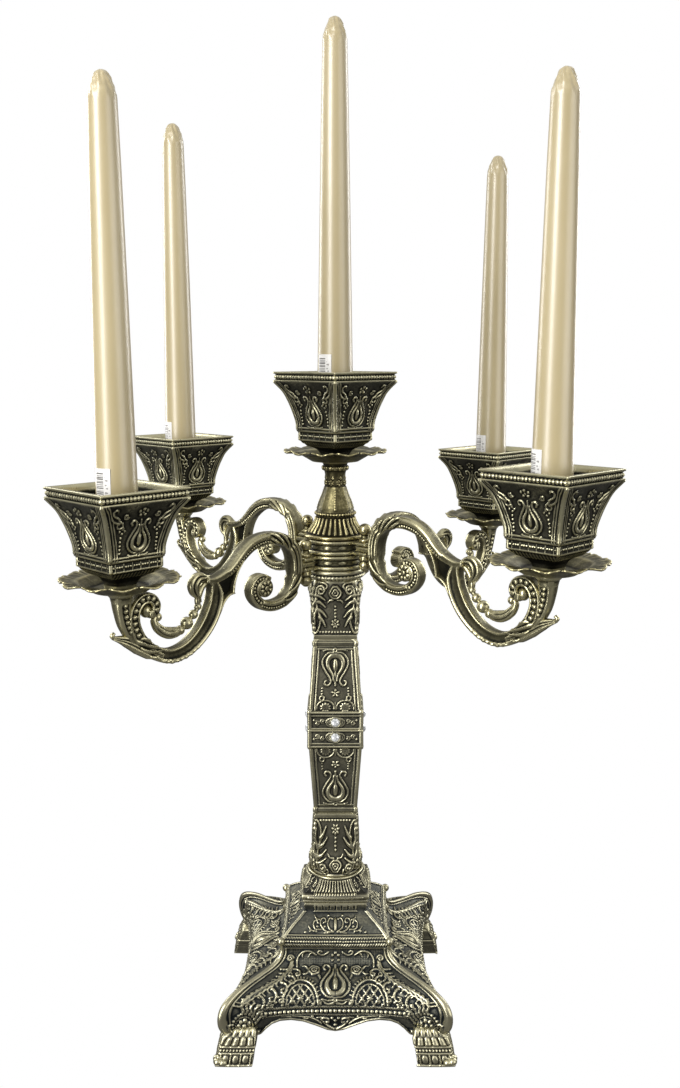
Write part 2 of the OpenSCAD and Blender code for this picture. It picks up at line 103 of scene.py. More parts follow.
def arc(cx, cy, rx, ry, *angles):
    """Points along an oval at the angles of range(*angles), in degrees."""
    a = np.radians(np.arange(*angles))
    return np.stack([cx + rx * np.cos(a), cy + ry * np.sin(a)], 1)


def placed(points, x, y, scale, turn):
    """Points turned by turn degrees, scaled and moved to x, y."""
    p = np.asarray(points, float) * scale
    c, s = math.cos(math.radians(turn)), math.sin(math.radians(turn))
    return np.stack([x + c * p[:, 0] - s * p[:, 1], y + s * p[:, 0] + c * p[:, 1]], 1)


# ---- ornament: heights over one face ----

def hump(u, v=0):
    """A round hump: 1 where u and v are 0, and 0 from one unit away."""
    return np.sqrt(np.clip(1 - u ** 2 - v ** 2, 0, 1))


class Relief:
    """Heights in mm over points at x, y. A shape is raised to its height, never stacked."""

    def __init__(self, x, y):
        self.x = np.asarray(x, float)
        self.y = np.asarray(y, float)
        self.h = np.zeros(np.broadcast(self.x, self.y).shape)

    def lift(self, heights):
        self.h = np.maximum(self.h, heights)

    def dome(self, cx, cy, r, height, ry=None, turn=0.0):
        c, s = math.cos(math.radians(turn)), math.sin(math.radians(turn))
        u = ((self.x - cx) * c + (self.y - cy) * s) / r
        v = (-(self.x - cx) * s + (self.y - cy) * c) / (ry or r)
        self.lift(height * hump(u, v))

    def dots(self, points, r, height):
        for cx, cy in points:
            self.dome(cx, cy, r, height)

    def ring(self, cx, cy, r, width, height):
        off = (np.hypot(self.x - cx, self.y - cy) - r) / (width / 2)
        self.lift(height * hump(off))

    def stroke(self, points, width, height, end=None):
        """A rounded ridge along the points, width wide at its start and end wide at its end."""
        p = np.asarray(points, float)
        last = len(p) - 1
        end = width if end is None else end
        near = np.full(self.h.shape, 9.0)
        for i in range(last):
            d = p[i + 1] - p[i]
            t = ((self.x - p[i, 0]) * d[0] + (self.y - p[i, 1]) * d[1]) / max(d @ d, 1e-9)
            t = np.clip(t, 0, 1)
            half = (width + (end - width) * (i + t) / last) / 2
            off = np.hypot(self.x - p[i, 0] - t * d[0], self.y - p[i, 1] - t * d[1])
            near = np.minimum(near, off / np.maximum(half, 1e-3))
        self.lift(height * hump(near))

    def curve(self, points, width, height, end=None, step=0.7):
        """A ridge along a smooth curve through the points."""
        self.stroke(smooth(points, step), width, height, end)

    def bar(self, y, width, height):
        """A rounded ridge along x at y."""
        self.lift(height * hump((self.y - y) / (width / 2)))

    def beads(self, y, step, r, height, reach=1e9):
        """A row of beads along x at y, out to reach."""
        u = ((self.x / step + 0.5) % 1 - 0.5) * step / r
        self.lift(height * hump(u, (self.y - y) / r) * (np.abs(self.x) < reach))

    def rope(self, y, width, step, height, reach=1e9):
        """A twisted band along x at y."""
        v = (self.y - y) / (width / 2)
        lobes = np.abs(np.sin(math.pi * (self.x / step + 0.5 * v)))
        self.lift(height * lobes * (np.abs(v) < 1) * (np.abs(self.x) < reach))

    def flower(self, cx, cy, r, petals, height):
        for k in range(petals):
            a = math.pi / 2 + TAU * k / petals
            self.dome(cx + 0.62 * r * math.cos(a), cy + 0.62 * r * math.sin(a), 0.36 * r, height,
                      ry=0.22 * r, turn=math.degrees(a))
        self.dome(cx, cy, 0.2 * r, height)

    def rose(self, cx, cy, r, height):
        """A full rose: wavy petals in three rings round a curled heart."""
        dx, dy = self.x - cx, self.y - cy
        d = np.hypot(dx, dy) / r
        a = np.arctan2(dy, dx)
        edge = 1 - 0.10 * np.abs(np.sin(2.5 * a))
        rings = 0.55 + 0.45 * np.cos(TAU * 2.6 * d / edge + 0.6 * np.sin(a * 3))
        bowl = np.sqrt(np.clip(1 - (d / edge) ** 4, 0, 1))
        self.lift(height * bowl * (0.35 + 0.65 * rings))

    def leaf(self, base, tip, width, height, bend=0.0):
        """A pointed leaf with a vein; bend bows it sideways as a share of its length."""
        a, b = np.asarray(base, float), np.asarray(tip, float)
        d = b - a
        mid = (a + b) / 2 + bend * np.array([-d[1], d[0]])
        path = smooth([a, mid, b], max(np.hypot(*d) / 7, 0.5))
        self.stroke(path, width, height, end=0.25 * width)

    def leaves(self, *rows):
        for row in rows:
            self.leaf(*row)

    def lyre(self, cx, cy, size, height, flip=1):
        """Two crescent petals round a bud, inside a line that ends in two curls."""
        for m in (1, -1):
            def at(points):
                q = np.asarray(points, float) * size
                return np.stack([cx + m * q[:, 0], cy + flip * q[:, 1]], 1)
            self.curve(at([(0.03, 0.06), (0.13, 0.1), (0.21, 0.22), (0.21, 0.38), (0.14, 0.52),
                           (0.07, 0.64), (0.05, 0.8)]),
                       0.17 * size, height, 0.05 * size, step=size * 0.04)
            self.curve(at([(0.04, -0.02), (0.2, 0.0), (0.34, 0.16), (0.36, 0.34), (0.27, 0.54),
                           (0.17, 0.7), (0.13, 0.82), (0.18, 0.92), (0.27, 0.93), (0.31, 0.86),
                           (0.27, 0.8)]),
                       0.055 * size, 0.8 * height, 0.06 * size, step=size * 0.04)
            self.stroke(at([(0.05, -0.09), (0.2, -0.1), (0.34, -0.06)]), 0.06 * size,
                        0.7 * height, end=0.03 * size)
        self.dome(cx, cy + flip * 0.36 * size, 0.075 * size, 1.15 * height, ry=0.2 * size)
        self.stroke([(cx, cy + flip * 0.5 * size), (cx, cy + flip * 0.94 * size)], 0.06 * size,
                    0.8 * height)
        self.ring(cx, cy - flip * 0.08 * size, 0.045 * size, 0.05 * size, 0.8 * height)


# ---- meshes ----

def unit(v):
    return v / np.maximum(np.linalg.norm(v, axis=-1, keepdims=True), 1e-9)


def grid_quads(rows, cols, wrap):
    """Corner numbers of a rows by cols grid's quads; wrap joins its last column to its first."""
    i, j = np.meshgrid(np.arange(rows - 1), np.arange(cols if wrap else cols - 1), indexing="ij")
    k = (j + 1) % cols
    quads = np.stack([i * cols + j, i * cols + k, (i + 1) * cols + k, (i + 1) * cols + j], -1)
    return quads.reshape(-1, 4)


class Shape:
    """Points and faces of one piece, in mm, and each point's painted shade."""

    def __init__(self):
        self.points, self.quads, self.tris, self.shades, self.count = [], [], [], [], 0

    def grid(self, p, wrap=True, ends=(True, True), shade=0.0):
        """Adds a grid of points as a surface; ends closes its first and last rows. shade, the
        painted shade that darkens or lightens its points, is one number, or one for each row."""
        rows, cols = p.shape[:2]
        self.points.append(p.reshape(-1, 3))
        shade = np.broadcast_to(shade, rows)
        self.shades.append(np.repeat(shade, cols))
        self.quads.append(grid_quads(rows, cols, wrap) + self.count)
        base = self.count
        self.count += rows * cols
        for row, wanted, flip in ((0, ends[0], True), (rows - 1, ends[1], False)):
            if wanted and wrap:
                self.points.append(p[row].mean(axis=0)[None])
                self.shades.append(shade[row:row + 1])
                j = np.arange(cols)
                a, b = base + row * cols + j, base + row * cols + (j + 1) % cols
                hub = np.full(cols, self.count)
                self.tris.append(np.stack([b, a, hub] if flip else [a, b, hub], 1))
                self.count += 1
        return self

    def add(self, other, move=(0, 0, 0), turn=0.0, flip=False):
        """Adds a copy of another shape, turned upside down if flip is set, turned about z by
        degrees, then moved."""
        p = np.concatenate(other.points) * ([1, -1, -1] if flip else 1)
        c, s = math.cos(math.radians(turn)), math.sin(math.radians(turn))
        p = np.stack([c * p[:, 0] - s * p[:, 1], s * p[:, 0] + c * p[:, 1], p[:, 2]], 1)
        self.points.append(p + np.asarray(move, float))
        self.shades += other.shades
        self.quads += [q + self.count for q in other.quads]
        self.tris += [t + self.count for t in other.tris]
        self.count += len(p)
        return self

    def mesh(self, name):
        """A Blender mesh in metres, shaded smooth."""
        points = np.concatenate(self.points) * MM
        quads = np.concatenate(self.quads) if self.quads else np.zeros((0, 4), int)
        tris = np.concatenate(self.tris) if self.tris else np.zeros((0, 3), int)
        mesh = bpy.data.meshes.new(name)
        mesh.vertices.add(len(points))
        mesh.vertices.foreach_set("co", points.ravel())
        corners = np.r_[quads.ravel(), tris.ravel()].astype(np.int32)
        mesh.loops.add(len(corners))
        mesh.loops.foreach_set("vertex_index", corners)
        starts = np.r_[np.arange(len(quads)) * 4, quads.size + np.arange(len(tris)) * 3]
        mesh.polygons.add(len(starts))
        mesh.polygons.foreach_set("loop_start", starts.astype(np.int32))
        mesh.polygons.foreach_set("use_smooth", np.ones(len(starts), bool))
        mesh.update(calc_edges=True)
        return mesh


def normals_of(p, wrap=True):
    """Unit normals of a grid of points, by differences between neighbours."""
    across = np.roll(p, -1, 1) - np.roll(p, 1, 1) if wrap else np.gradient(p, axis=1)
    along = np.gradient(p, axis=0)
    return unit(np.cross(across, along))


def raised(p, heights, wrap=True):
    """The grid's points moved out along their normals by heights in mm."""
    return p + normals_of(p, wrap) * heights[..., None]


# Rounds of smoothing that give a point's surroundings, and the mm from plain to a full crest.
PATINA_PASSES, PATINA_DEPTH = 7, 0.28


def paint_relief(mesh, shades):
    """Stores, as the attribute relief, how far each point stands above its surroundings:
    0.5 on a plain surface, towards 1 on crests and edges, towards 0 in grooves; plus its painted
    shade."""
    count = len(mesh.vertices)
    p = np.empty(count * 3)
    mesh.vertices.foreach_get("co", p)
    p = p.reshape(-1, 3) / MM
    n = np.empty(count * 3)
    mesh.vertices.foreach_get("normal", n)
    n = n.reshape(-1, 3)
    e = np.empty(len(mesh.edges) * 2, np.int32)
    mesh.edges.foreach_get("vertices", e)
    a, b = e.reshape(-1, 2).T
    links = np.maximum(np.bincount(a, minlength=count) + np.bincount(b, minlength=count), 1)
    q = p.copy()
    for _ in range(PATINA_PASSES):
        total = np.stack([np.bincount(a, q[b, k], count) + np.bincount(b, q[a, k], count)
                          for k in range(3)], 1)
        q = 0.5 * q + 0.5 * total / links[:, None]
    above = np.einsum("ij,ij->i", p - q, n)
    value = np.clip(0.5 + above / (2 * PATINA_DEPTH) + shades, 0, 1)
    layer = mesh.attributes.new("relief", "FLOAT", "POINT")
    layer.data.foreach_set("value", value.astype(np.float32))


def squares(rows, per_face, heights=None):
    """Grid of a body of square section about the z axis.

    rows are (half width, height, roundness): 0 is a square, 1 a circle of that radius. heights
    is a function of a Relief for one face, x across it and y up it.
    """
    rows = np.asarray(rows, float)
    s = np.linspace(-1, 1, per_face, endpoint=False)
    half, z, c = rows[:, 0:1], rows[:, 1:2], rows[:, 2:3, None]
    square = np.stack([s, -np.ones_like(s)], 1)
    circle = np.stack([np.sin(s * math.pi / 4), -np.cos(s * math.pi / 4)], 1)
    xy = ((1 - c) * square[None] + c * circle[None]) * half[..., None]
    grids, lifts = [], []
    for face in range(4):
        ang = face * math.pi / 2
        x = math.cos(ang) * xy[..., 0] - math.sin(ang) * xy[..., 1]
        y = math.sin(ang) * xy[..., 0] + math.cos(ang) * xy[..., 1]
        grids.append(np.stack([x, y, np.broadcast_to(z, x.shape)], -1))
        if heights is not None:
            relief = Relief(s[None] * half, np.broadcast_to(z, x.shape))
            relief.half, relief.face = np.broadcast_to(half, x.shape), face
            heights(relief)
            lifts.append(relief.h)
    p = np.concatenate(grids, 1)
    return raised(p, np.concatenate(lifts, 1)) if lifts else p


def dense(profile, step, roundness=0.0):
    """Rows for squares(): a profile of (half, z) or (half, z, roundness) cut every step mm."""
    rows = [tuple(q) + (roundness,) * (3 - len(q)) for q in profile]
    return evenly(rows, step)


def turned(profile, around, heights=None):
    """Grid of a turned body: profile is (radius, height); heights takes a Relief of the angle
    in turns (x) and the height (y)."""
    prof = np.asarray(profile, float)
    a = np.linspace(0, 1, around, endpoint=False)[None] * TAU
    r, z = prof[:, 0:1], prof[:, 1:2]
    p = np.stack([r * np.cos(a), r * np.sin(a), np.broadcast_to(z, (len(prof), around))], -1)
    if heights is None:
        return p
    relief = Relief(np.broadcast_to(a / TAU, p.shape[:2]), np.broadcast_to(z, p.shape[:2]))
    heights(relief)
    return raised(p, relief.h)


def lathe(profile, step, around, heights=None, closed=True):
    """A turned shape, its profile cut every step mm; closed caps both of its ends."""
    return Shape().grid(turned(evenly(profile, step), around, heights), ends=(closed, closed))


def mirrored(half):
    """A profile below z = 0, run on through its mirror image above."""
    return half + [(r, -z) for r, z in reversed(half) if z]


def ball(r, around, squash=1.0):
    """Points of a ball about the origin."""
    t = np.linspace(-90, 90, around // 2 + 1)[1:-1]
    profile = [(r * math.cos(math.radians(k)), squash * r * math.sin(math.radians(k))) for k in t]
    return Shape().grid(turned(profile, around))


def sweep(path, widths, thick, around, power=5.0, heights=None):
    """Grid of a band that follows a path in the x-z plane.

    widths and thick are the band's size in the plane and across it, one number or one for each
    point. heights(run, u, v, width) gives the relief: run is the distance along the path in mm,
    u and v the place in the section from -1 to 1, u in the plane (1 is the left-hand edge) and
    v across it.
    """
    p = np.asarray(path, float)
    n = len(p)
    w = np.broadcast_to(np.asarray(widths, float), n)[:, None]
    t = np.broadcast_to(np.asarray(thick, float), n)[:, None]
    d = unit(np.gradient(p, axis=0))
    left = np.stack([-d[:, 1], d[:, 0]], 1)
    a = np.linspace(0, TAU, around, endpoint=False)
    co, si = np.cos(a), np.sin(a)
    size = (np.abs(co) ** power + np.abs(si) ** power) ** (-1 / power)
    u, v = (co * size)[None], (si * size)[None]
    x = p[:, 0:1] + left[:, 0:1] * u * w / 2
    z = p[:, 1:2] + left[:, 1:2] * u * w / 2
    g = np.stack([x, -v * t / 2, z], -1)
    if heights is None:
        return g
    run = np.r_[0, np.cumsum(np.linalg.norm(np.diff(p, axis=0), axis=1))]
    return raised(g, heights(run[:, None], u, v, w))


def spread(values, count):
    """count numbers that run evenly through the given ones."""
    return np.interp(np.linspace(0, 1, count), np.linspace(0, 1, len(values)), values)


# ---- cups ----

CUP_FOOT = [(8.6, 1.7, 1), (8.8, 4, 1), (9.3, 7, 0.6), (10.4, 8.5, 0.15), (12.4, 9.7, 0.05),
            (14.4, 11.6, 0), (15.6, 13.4, 0)]
CUP_BAND = [(15.9, 13.6), (15.9, 18.2), (17.0, 18.6), (17.1, 19.4)]
CUP_WALL = [(16.9, 19.8, 0), (17.2, 25, 0), (18.7, 31.5, 0), (20.5, 37.5, 0), (22.9, 43.5, 0),
            (27.0, 49.5, 0)]
CUP_RIM = [(27.2, 49.8), (27.2, 50.3), (26.2, 50.7), (26.2, 53.9), (27.1, 54.3), (27.4, 54.9),
           (27.1, 55.5)]
CUP_INSIDE = [(24.6, 55.5), (24.1, 54.5), (22.6, 50), (20.4, 43.5), (18.3, 37.5), (16.7, 31.5),
              (15.3, 25), (14.6, 18.5), (13.4, 13.6), (12.7, 12.4), (1.0, 12.3)]


def cup_heights(f):
    """Ornament of one cup face: f.y is the height above the saucer's seat."""
    outside = f.half > np.interp(f.y, [0, 8.3, 13, 25, 37.5, 49, 56],
                                 [0, 0, 14.5, 16.4, 19.6, 24.9, 25.6])
    wall = (f.y > 19.6) & (f.y < 49.6) & outside
    edge = f.half - np.abs(f.x)
    m = Relief(np.abs(f.x), f.y)
    m.lyre(0, 23.2, 18.5, 1.1)
    m.dots([(0, 46.4), (2.2, 45.4), (1.3, 43.4)], 0.85, 0.9)
    m.dome(0, 44.6, 0.7, 0.8)
    m.ring(12.6, 38.6, 1.7, 1.0, 0.8)
    m.curve([(12.6, 40.4), (14.4, 42.6), (17.2, 44.2), (18.6, 46.4), (17, 47.6), (15.6, 46.4)],
            1.3, 0.9, end=0.9)
    m.leaves(((13.4, 39.6), (19.4, 45.0), 1.6, 0.9, -0.15),
             ((10.2, 36.2), (14.6, 41.6), 1.2, 0.7, 0.15))
    m.stroke(spiral(9.6, 43.2, 1.6, 200, 1.2), 0.9, 0.8)
    m.dots([(9.2, 35.2), (10.7, 34.0), (10.7, 36.4), (12.2, 35.2)], 0.62, 0.7)
    m.dots([(11.2, y) for y in (31.6, 29.5, 27.4, 25.3, 23.4)], 0.62, 0.7)
    m.h *= wall
    corner = hump(edge / 1.9) * 0.7
    lines = [hump((edge - at) / 0.45) * 0.55 for at in (3.0, 4.5)]
    m.lift(np.maximum(corner, np.maximum(*lines)) * wall)
    m.bar(20.9, 1.0, 0.6)
    m.lift(0.35 * np.abs(np.cos(math.pi * f.x / 2.1)) * ((f.y > 9) & (f.y < 12.9)))
    m.bar(13.5, 1.0, 0.6)
    group = np.abs((np.abs(f.x) + 2.6) % 5.2 - 2.6)
    trio = Relief(group, f.y)
    trio.dots([(0, 16), (1.45, 16)], 0.62, 0.6)
    trio.lift(0.22 * hump((group - 2.6) / 0.3))
    m.lift(trio.h * (np.abs(f.y - 16) < 2) * (edge > 1.2))
    m.lift(0.7 * hump(edge / 1.2) * (f.y > 13.4) * (f.y < 18.4))
    beads = Relief(np.abs(f.x), f.y)
    beads.beads(52.3, 2.3, 1.3, 1.3)
    m.lift(beads.h * (f.y > 50.6) * (f.y < 54.2))
    f.lift(m.h * outside)


def cup_shape():
    outer = np.vstack([dense(CUP_FOOT, 0.8), dense(CUP_BAND, 0.45), smooth(CUP_WALL, 0.46),
                       dense(CUP_RIM, 0.42)])
    inner = dense(CUP_INSIDE, 2.4)
    # painted shade: darkened down inside the cup, lighter at its lip
    shade = np.r_[np.zeros(len(outer)), np.interp(inner[:, 1], [40, 54, 55.4], [-0.42, -0.3, 0.12])]
    return Shape().grid(squares(np.vstack([outer, inner]), 76, cup_heights), shade=shade)


def saucer_shape():
    """A drip saucer: a faceted dish with a ruffled rim of scalloped leaves, its seat at z = 0."""
    leaves = 12
    under = [(3.2, 0.0), (14.6, 0.0), (15.6, 0.5), (19.5, 2.8), (23.4, 5.0), (28, 6.0), (32.2, 6.6)]
    over = [(32.6, 7.0), (32.2, 7.3), (28, 6.8), (23.2, 5.9), (19, 3.6), (15.4, 1.4), (3.2, 1.4)]
    lower = evenly(under, 0.9)
    prof = np.vstack([lower, evenly(over, 0.9)])
    p = turned(prof, 252)
    r = np.hypot(p[..., 0], p[..., 1])
    a = np.arctan2(p[..., 1], p[..., 0]) / TAU
    leaf = np.abs(((a * leaves) % 1) - 0.5) * 2          # 0 at a leaf's vein, 1 between leaves
    rim = np.clip((r - 23) / 10, 0, 1)
    tooth = np.abs(np.sin(math.pi * a * leaves * 2)) ** 0.7
    scale = 1 - rim * (0.05 * leaf ** 2 + 0.045 * (1 - tooth)) + 0.015 * rim
    facets = 1 - 0.035 * (1 - np.abs(np.cos(math.pi * a * 8))) * (r > 15)
    scale = np.where(rim > 0, scale * facets, facets)
    z = p[..., 2] + rim * (0.7 * np.cos(TAU * a * leaves) + 0.5 * tooth - 0.6)
    side = np.where(np.arange(len(prof)) < len(lower), -1.0, 1.0)[:, None]
    fan = np.abs(np.sin(math.pi * a * leaves * 4))
    veins = rim * (0.6 * fan + 0.5 * np.clip(1 - leaf * 6, 0, 1) - 0.4 * (leaf > 0.86))
    z = z + side * 0.5 * veins
    p = np.stack([p[..., 0] * scale, p[..., 1] * scale, z], -1)
    return Shape().grid(np.concatenate([p, p[:1]]), ends=(False, False))


SOCKET_BORE, SOCKET_TALL, SOCKET_SEAT = 11.3, 22, 12.2    # SOCKET_SEAT is over the saucer's seat


def socket_shape():
    """The tube that holds a candle, with a rolled lip, its foot at z = 0."""
    bore, outer, tall = SOCKET_BORE, SOCKET_BORE + 1, SOCKET_TALL
    profile = [(bore - 0.2, 0.2), (outer, 0), (outer, tall - 1.4), (outer + 0.5, tall - 0.9),
               (outer + 0.4, tall - 0.2), (bore + 0.5, tall), (bore + 0.05, tall - 0.5),
               (bore + 0.05, 1.6), (5.4, 1.6), (5.2, 0.2), (bore - 0.2, 0.2)]
    return lathe(profile, 1.2, 72, closed=False)


def crystal_shape():
    """A round faceted stone in a thin collar, facing -Y, its back at y = 0."""
    sides = 8
    rings = [(2.79, 0), (3, 1.5), (2.16, 2.7), (1.2, 3.2)]
    turns = [TAU * (np.arange(sides) + 0.5 * (i % 2)) / sides for i in range(len(rings))]
    return Shape().grid(np.array([np.stack([r * np.cos(a), 0 * a - d, r * np.sin(a)], 1)
                                  for (r, d), a in zip(rings, turns)]))


# ---- candles ----

def candle_shape(length):
    """A taper whose thin clear wrap follows it closely, pinched into folds at the tip."""
    profile = [(0.1, 0), (10.5, 0), (10.95, 0.6), (10.95, 42), (10.8, 48), (9.25, length - 106),
               (8.1, length - 45), (7.35, length - 14), (7.1, length - 12), (5.9, length - 8),
               (4.3, length - 4), (2.9, length - 1.4), (1.6, length - 0.3), (0.1, length)]

    def wrap(f):
        near_tip = np.clip((f.y - (length - 15)) / 5, 0, 1) * np.clip((length - f.y) / 2, 0, 1)
        crease = np.abs(np.sin(TAU * (3.5 * f.x + 0.04 * f.y)) ** 3)
        dents = np.sin(TAU * f.x * 4 + f.y * 0.9) * np.sin(TAU * f.x * 7 - f.y * 0.6)
        seam = np.clip(1 - np.abs(((f.x + 0.36) % 1) - 0.5) * 90, 0, 1)
        f.h = 0.45 * near_tip * crease + 0.3 * near_tip * dents + 0.12 * seam
    return lathe(profile, 1.3, 72, wrap)


# ---- stem ----
# Heights of the stem's pieces run from the seam or from the narrow band, outwards.


def shaft_heights(f):
    """Ornament of one face of a tapered shaft: f.y is the distance from the seam."""
    edge = f.half - np.abs(f.x)
    m = Relief(np.abs(f.x), f.y)
    m.lyre(0, 50.0, 22.5, 1.1, flip=-1)
    m.flower(0, 24.0, 2.9, 5, 0.95)
    m.ring(8.6, 20.6, 1.45, 1.0, 0.75)
    m.dots([(8.6, 23.4), (8.5, 25.2), (8.4, 27.0)], 0.55, 0.65)
    m.flower(6.3, 14.6, 3.5, 10, 0.6)
    m.ring(6.3, 14.6, 1.0, 0.8, 0.6)
    m.stroke(arc(6.3, 14.2, 5.6, 5.0, -10, 191, 14), 0.9, 0.65)
    m.stroke([(0, 13.4), (0, 17.6)], 0.7, 0.5)
    m.h *= (f.y > 12.4)
    waist = Relief(np.abs(f.x), f.y)
    waist.ring(0, 5, 3.3, 1.1, 0.8)
    for reach in (4.6, 5.9):
        waist.stroke(arc(0, 5, reach, 3.4, -60, 61, 15), 0.8, 0.5)
    waist.stroke(spiral(8.2, 5.9, 1.5, 250, 1.1), 0.8, 0.6)
    waist.stroke(spiral(11.6, 4.4, 1.6, 70, 1.1), 0.8, 0.6)
    waist.dome(13.7, 6.4, 0.7, 0.5)
    waist.h *= (f.y > 1.4) & (f.y < 9)
    m.lift(waist.h)
    strip = hump(edge / 2.1) * 0.8
    line = hump((edge - 3.3) / 0.5) * 0.5 * (f.y > 12.5) * (f.y < 53)
    m.lift(np.maximum(strip, line))
    m.bar(0.7, 1.3, 0.7)
    m.bar(9.4, 1.0, 0.7)
    m.bar(11.4, 1.5, 0.9)
    m.bar(52.6, 0.8, 0.5)
    f.lift(m.h)


SHAFT = [(17.2, 0), (17.3, 9), (17.3, 12.2), (16.3, 13), (13.5, 54.2)]
SHAFT_END = [(13.3, 54.4), (13.9, 55), (14.0, 57), (13.4, 57.5), (12.9, 58.2), (12.9, 59)]


def shaft_shape():
    end_face = (8.2, 0, 0)
    rows = np.vstack([[end_face], dense(SHAFT, 0.45), dense(SHAFT_END, 0.35)])
    return Shape().grid(squares(rows, 72, shaft_heights))


def flare_heights(f, length):
    """Ornament of one face of a flare: f.y is the distance from the narrow band.

    The ornament is laid out for a flare 35 long; only its leaves stretch on a longer one.
    """
    edge = f.half - np.abs(f.x)
    y = np.interp(f.y, [0, 8, length - 13, length + 3], [0, 8, 22, 38])
    m = Relief(np.abs(f.x), y)
    m.beads(4.6, 1.9, 0.7, 0.6, reach=11)
    m.flower(0, 9.8, 2.9, 7, 1.0)
    m.dots([(0, 13.6), (0, 15.4), (0, 17.2), (0, 19.0)], 0.66, 0.8)
    m.rose(0, 27.8, 5.2, 2.0)
    m.leaf((1.6, 22.8), (5.2, 20.6), 1.5, 1.0, bend=0.2)
    m.stroke(spiral(10.0, 29.0, 3.6, 330, 1.5), 1.5, 1.4)
    m.curve([(6.4, 30.4), (5.8, 32.2), (8.2, 33.8), (11.4, 33.8)], 1.2, 1.1)
    m.curve([(13.4, 27.6), (12.2, 20.0), (9.6, 12.4), (10.8, 6.6), (12.6, 3.8)], 1.7, 1.2, 1.3)
    for frond in ([(13.4, 26.0), (10.4, 25.4), (6.6, 22.8)],
                  [(12.8, 22.0), (9.8, 21.4), (6.4, 18.8)],
                  [(11.6, 17.6), (8.6, 16.4), (5.6, 13.4)],
                  [(10.0, 13.4), (8.0, 11.4), (6.2, 8.4)],
                  [(12.0, 17.8), (13.4, 14.2), (12.8, 9.6)],
                  [(12.8, 23.4), (14.4, 19.8), (14.0, 15.6)]):
        m.curve(frond, 2.6, 1.5, 0.8, step=0.4)
    m.h *= (y > 3.4) & (y < 34.4)
    corner = hump(edge / 1.4) * 0.7 * (f.y > 4) * (y < 31)
    m.lift(corner * (1 + 0.4 * np.sin(f.y * 2.0)))
    f.lift(m.h)


# (half width, share of the length, roundness)
FLARE = [(13.4, 0, 0), (13.6, 0.02, 0), (13.7, 0.06, 0), (13.2, 0.08, 0), (13.5, 0.12, 0),
         (14.3, 0.35, 0.06), (14.5, 0.58, 0.12), (15.5, 0.75, 0.25)]
FLARE_END_UP = [(16.0, 0.86, 0.45), (15.9, 0.955, 0.7), (15.8, 1, 0.8)]
FLARE_END_DOWN = [(16.2, 0.86, 0.5), (16.1, 0.93, 0.85), (15.9, 0.965, 1), (16.4, 0.982, 1),
                  (16.7, 1.0, 1), (16.6, 1.02, 1), (16.4, 1.04, 1)]


UPPER_FLARE, LOWER_FLARE = 38, 42.5           # their lengths


def flare_shape(ending, length):
    rows = np.array(FLARE + ending) * [1, length, 1]
    return Shape().grid(squares(smooth(rows, 0.45), 70, lambda f: flare_heights(f, length)))


def plinth_heights(f):
    """Ornament of one face of the plinth: f.y is the height above the base's top."""
    m = Relief(np.abs(f.x), f.y)
    across = m.x / f.half
    slope = (f.y > 7.2) & (f.y < 14.6)
    pleats = np.abs(np.cos(math.pi * across / 0.108))
    m.lift((across < 0.66) * slope * (0.2 + 1.1 * pleats))
    m.lift(0.9 * hump((across - 0.71) / 0.04) * slope)
    flora = Relief(across * 20, f.y)
    flora.flower(17.4, 10.6, 1.7, 6, 0.9)
    flora.leaves(((16.0, 7.6), (18.6, 8.6), 1.2, 0.8),
                 ((17.2, 12.4), (18.8, 14.0), 1.1, 0.7))
    m.lift(flora.h * slope)
    m.beads(6.55, 1.9, 0.75, 0.8, reach=15)
    m.rope(4.2, 1.5, 1.2, 0.5, reach=19)
    f.lift(m.h)


# (half width, height, roundness): the moulded rim and the pleated slope up to the round seat
PLINTH = [(20.4, 0, 0.05), (21.6, 0.4, 0.08), (21.8, 1.6, 0.1), (21.3, 2.2, 0.12),
          (22.5, 2.7, 0.14), (23.2, 3.6, 0.16), (23.4, 4.8, 0.18), (23.0, 5.8, 0.2),
          (22.3, 6.3, 0.22)]
PLINTH_SLOPE = [(22.3, 6.3, 0.22), (21.3, 6.9, 0.3), (20.4, 8.4, 0.5), (19.5, 10.8, 0.78),
                (18.9, 13.2, 0.96), (18.5, 14.6, 1)]
PLINTH_SEAT = [(18.5, 14.8, 1), (18.9, 15.4, 1), (18.7, 16.2, 1), (18.0, 16.5, 1), (17.3, 16.2, 1),
               (17.0, 15.4, 1), (16.9, 14.7, 1), (1.0, 14.6, 1)]


def plinth_shape():
    """A low square cushion that rises to a round seat for the stem."""
    rows = np.vstack([[(1.0, 0, 0)], dense(PLINTH, 0.4), smooth(PLINTH_SLOPE, 0.35)[1:],
                      dense(PLINTH_SEAT, 0.4)])
    # painted shade: the pleated slope is darkened; the rim and the seat are not
    shade = np.interp(rows[:, 1], [5.4, 6.8, 13.6, 15], [0, -0.2, -0.2, 0])
    return Shape().grid(squares(rows, 104, plinth_heights), shade=shade)


# ---- hub and neck ----

def ring_shape():
    """An arm ring: a band of oval bosses between two round mouldings, its middle at z = 0."""
    r, h, bosses = 20, 4.7, 12
    profile = mirrored([(4.1, -h), (r - 2, -h), (r - 0.6, -h + 0.4), (r, -h + 1.3),
                        (r - 0.5, -h + 2.3), (r - 1.7, -h + 2.9), (r - 1.9, 0)])

    def heights(f):
        u = ((f.x * bosses) % 1 - 0.5) * TAU * (r - 1.9) / bosses
        f.lift(0.4 * hump(u / 2.8, f.y / 1.1))
    return lathe(profile, 0.45, 220, heights, closed=False)


def cap_ring_shape():
    profile = [(4.4, 0), (15.6, 0), (17.2, 0.4), (18.6, 1.6), (18.9, 2.4), (18.2, 3.2), (18.2, 3.8),
               (19.3, 4.4), (19.6, 5.3), (19.0, 6.4), (18.0, 7), (4.4, 7)]

    def heights(f):
        f.lift(0.35 * np.abs(np.sin(TAU * f.x * 24)) * (np.abs(f.y - 1.8) < 1.3))
    return lathe(profile, 0.5, 200, heights, closed=False)


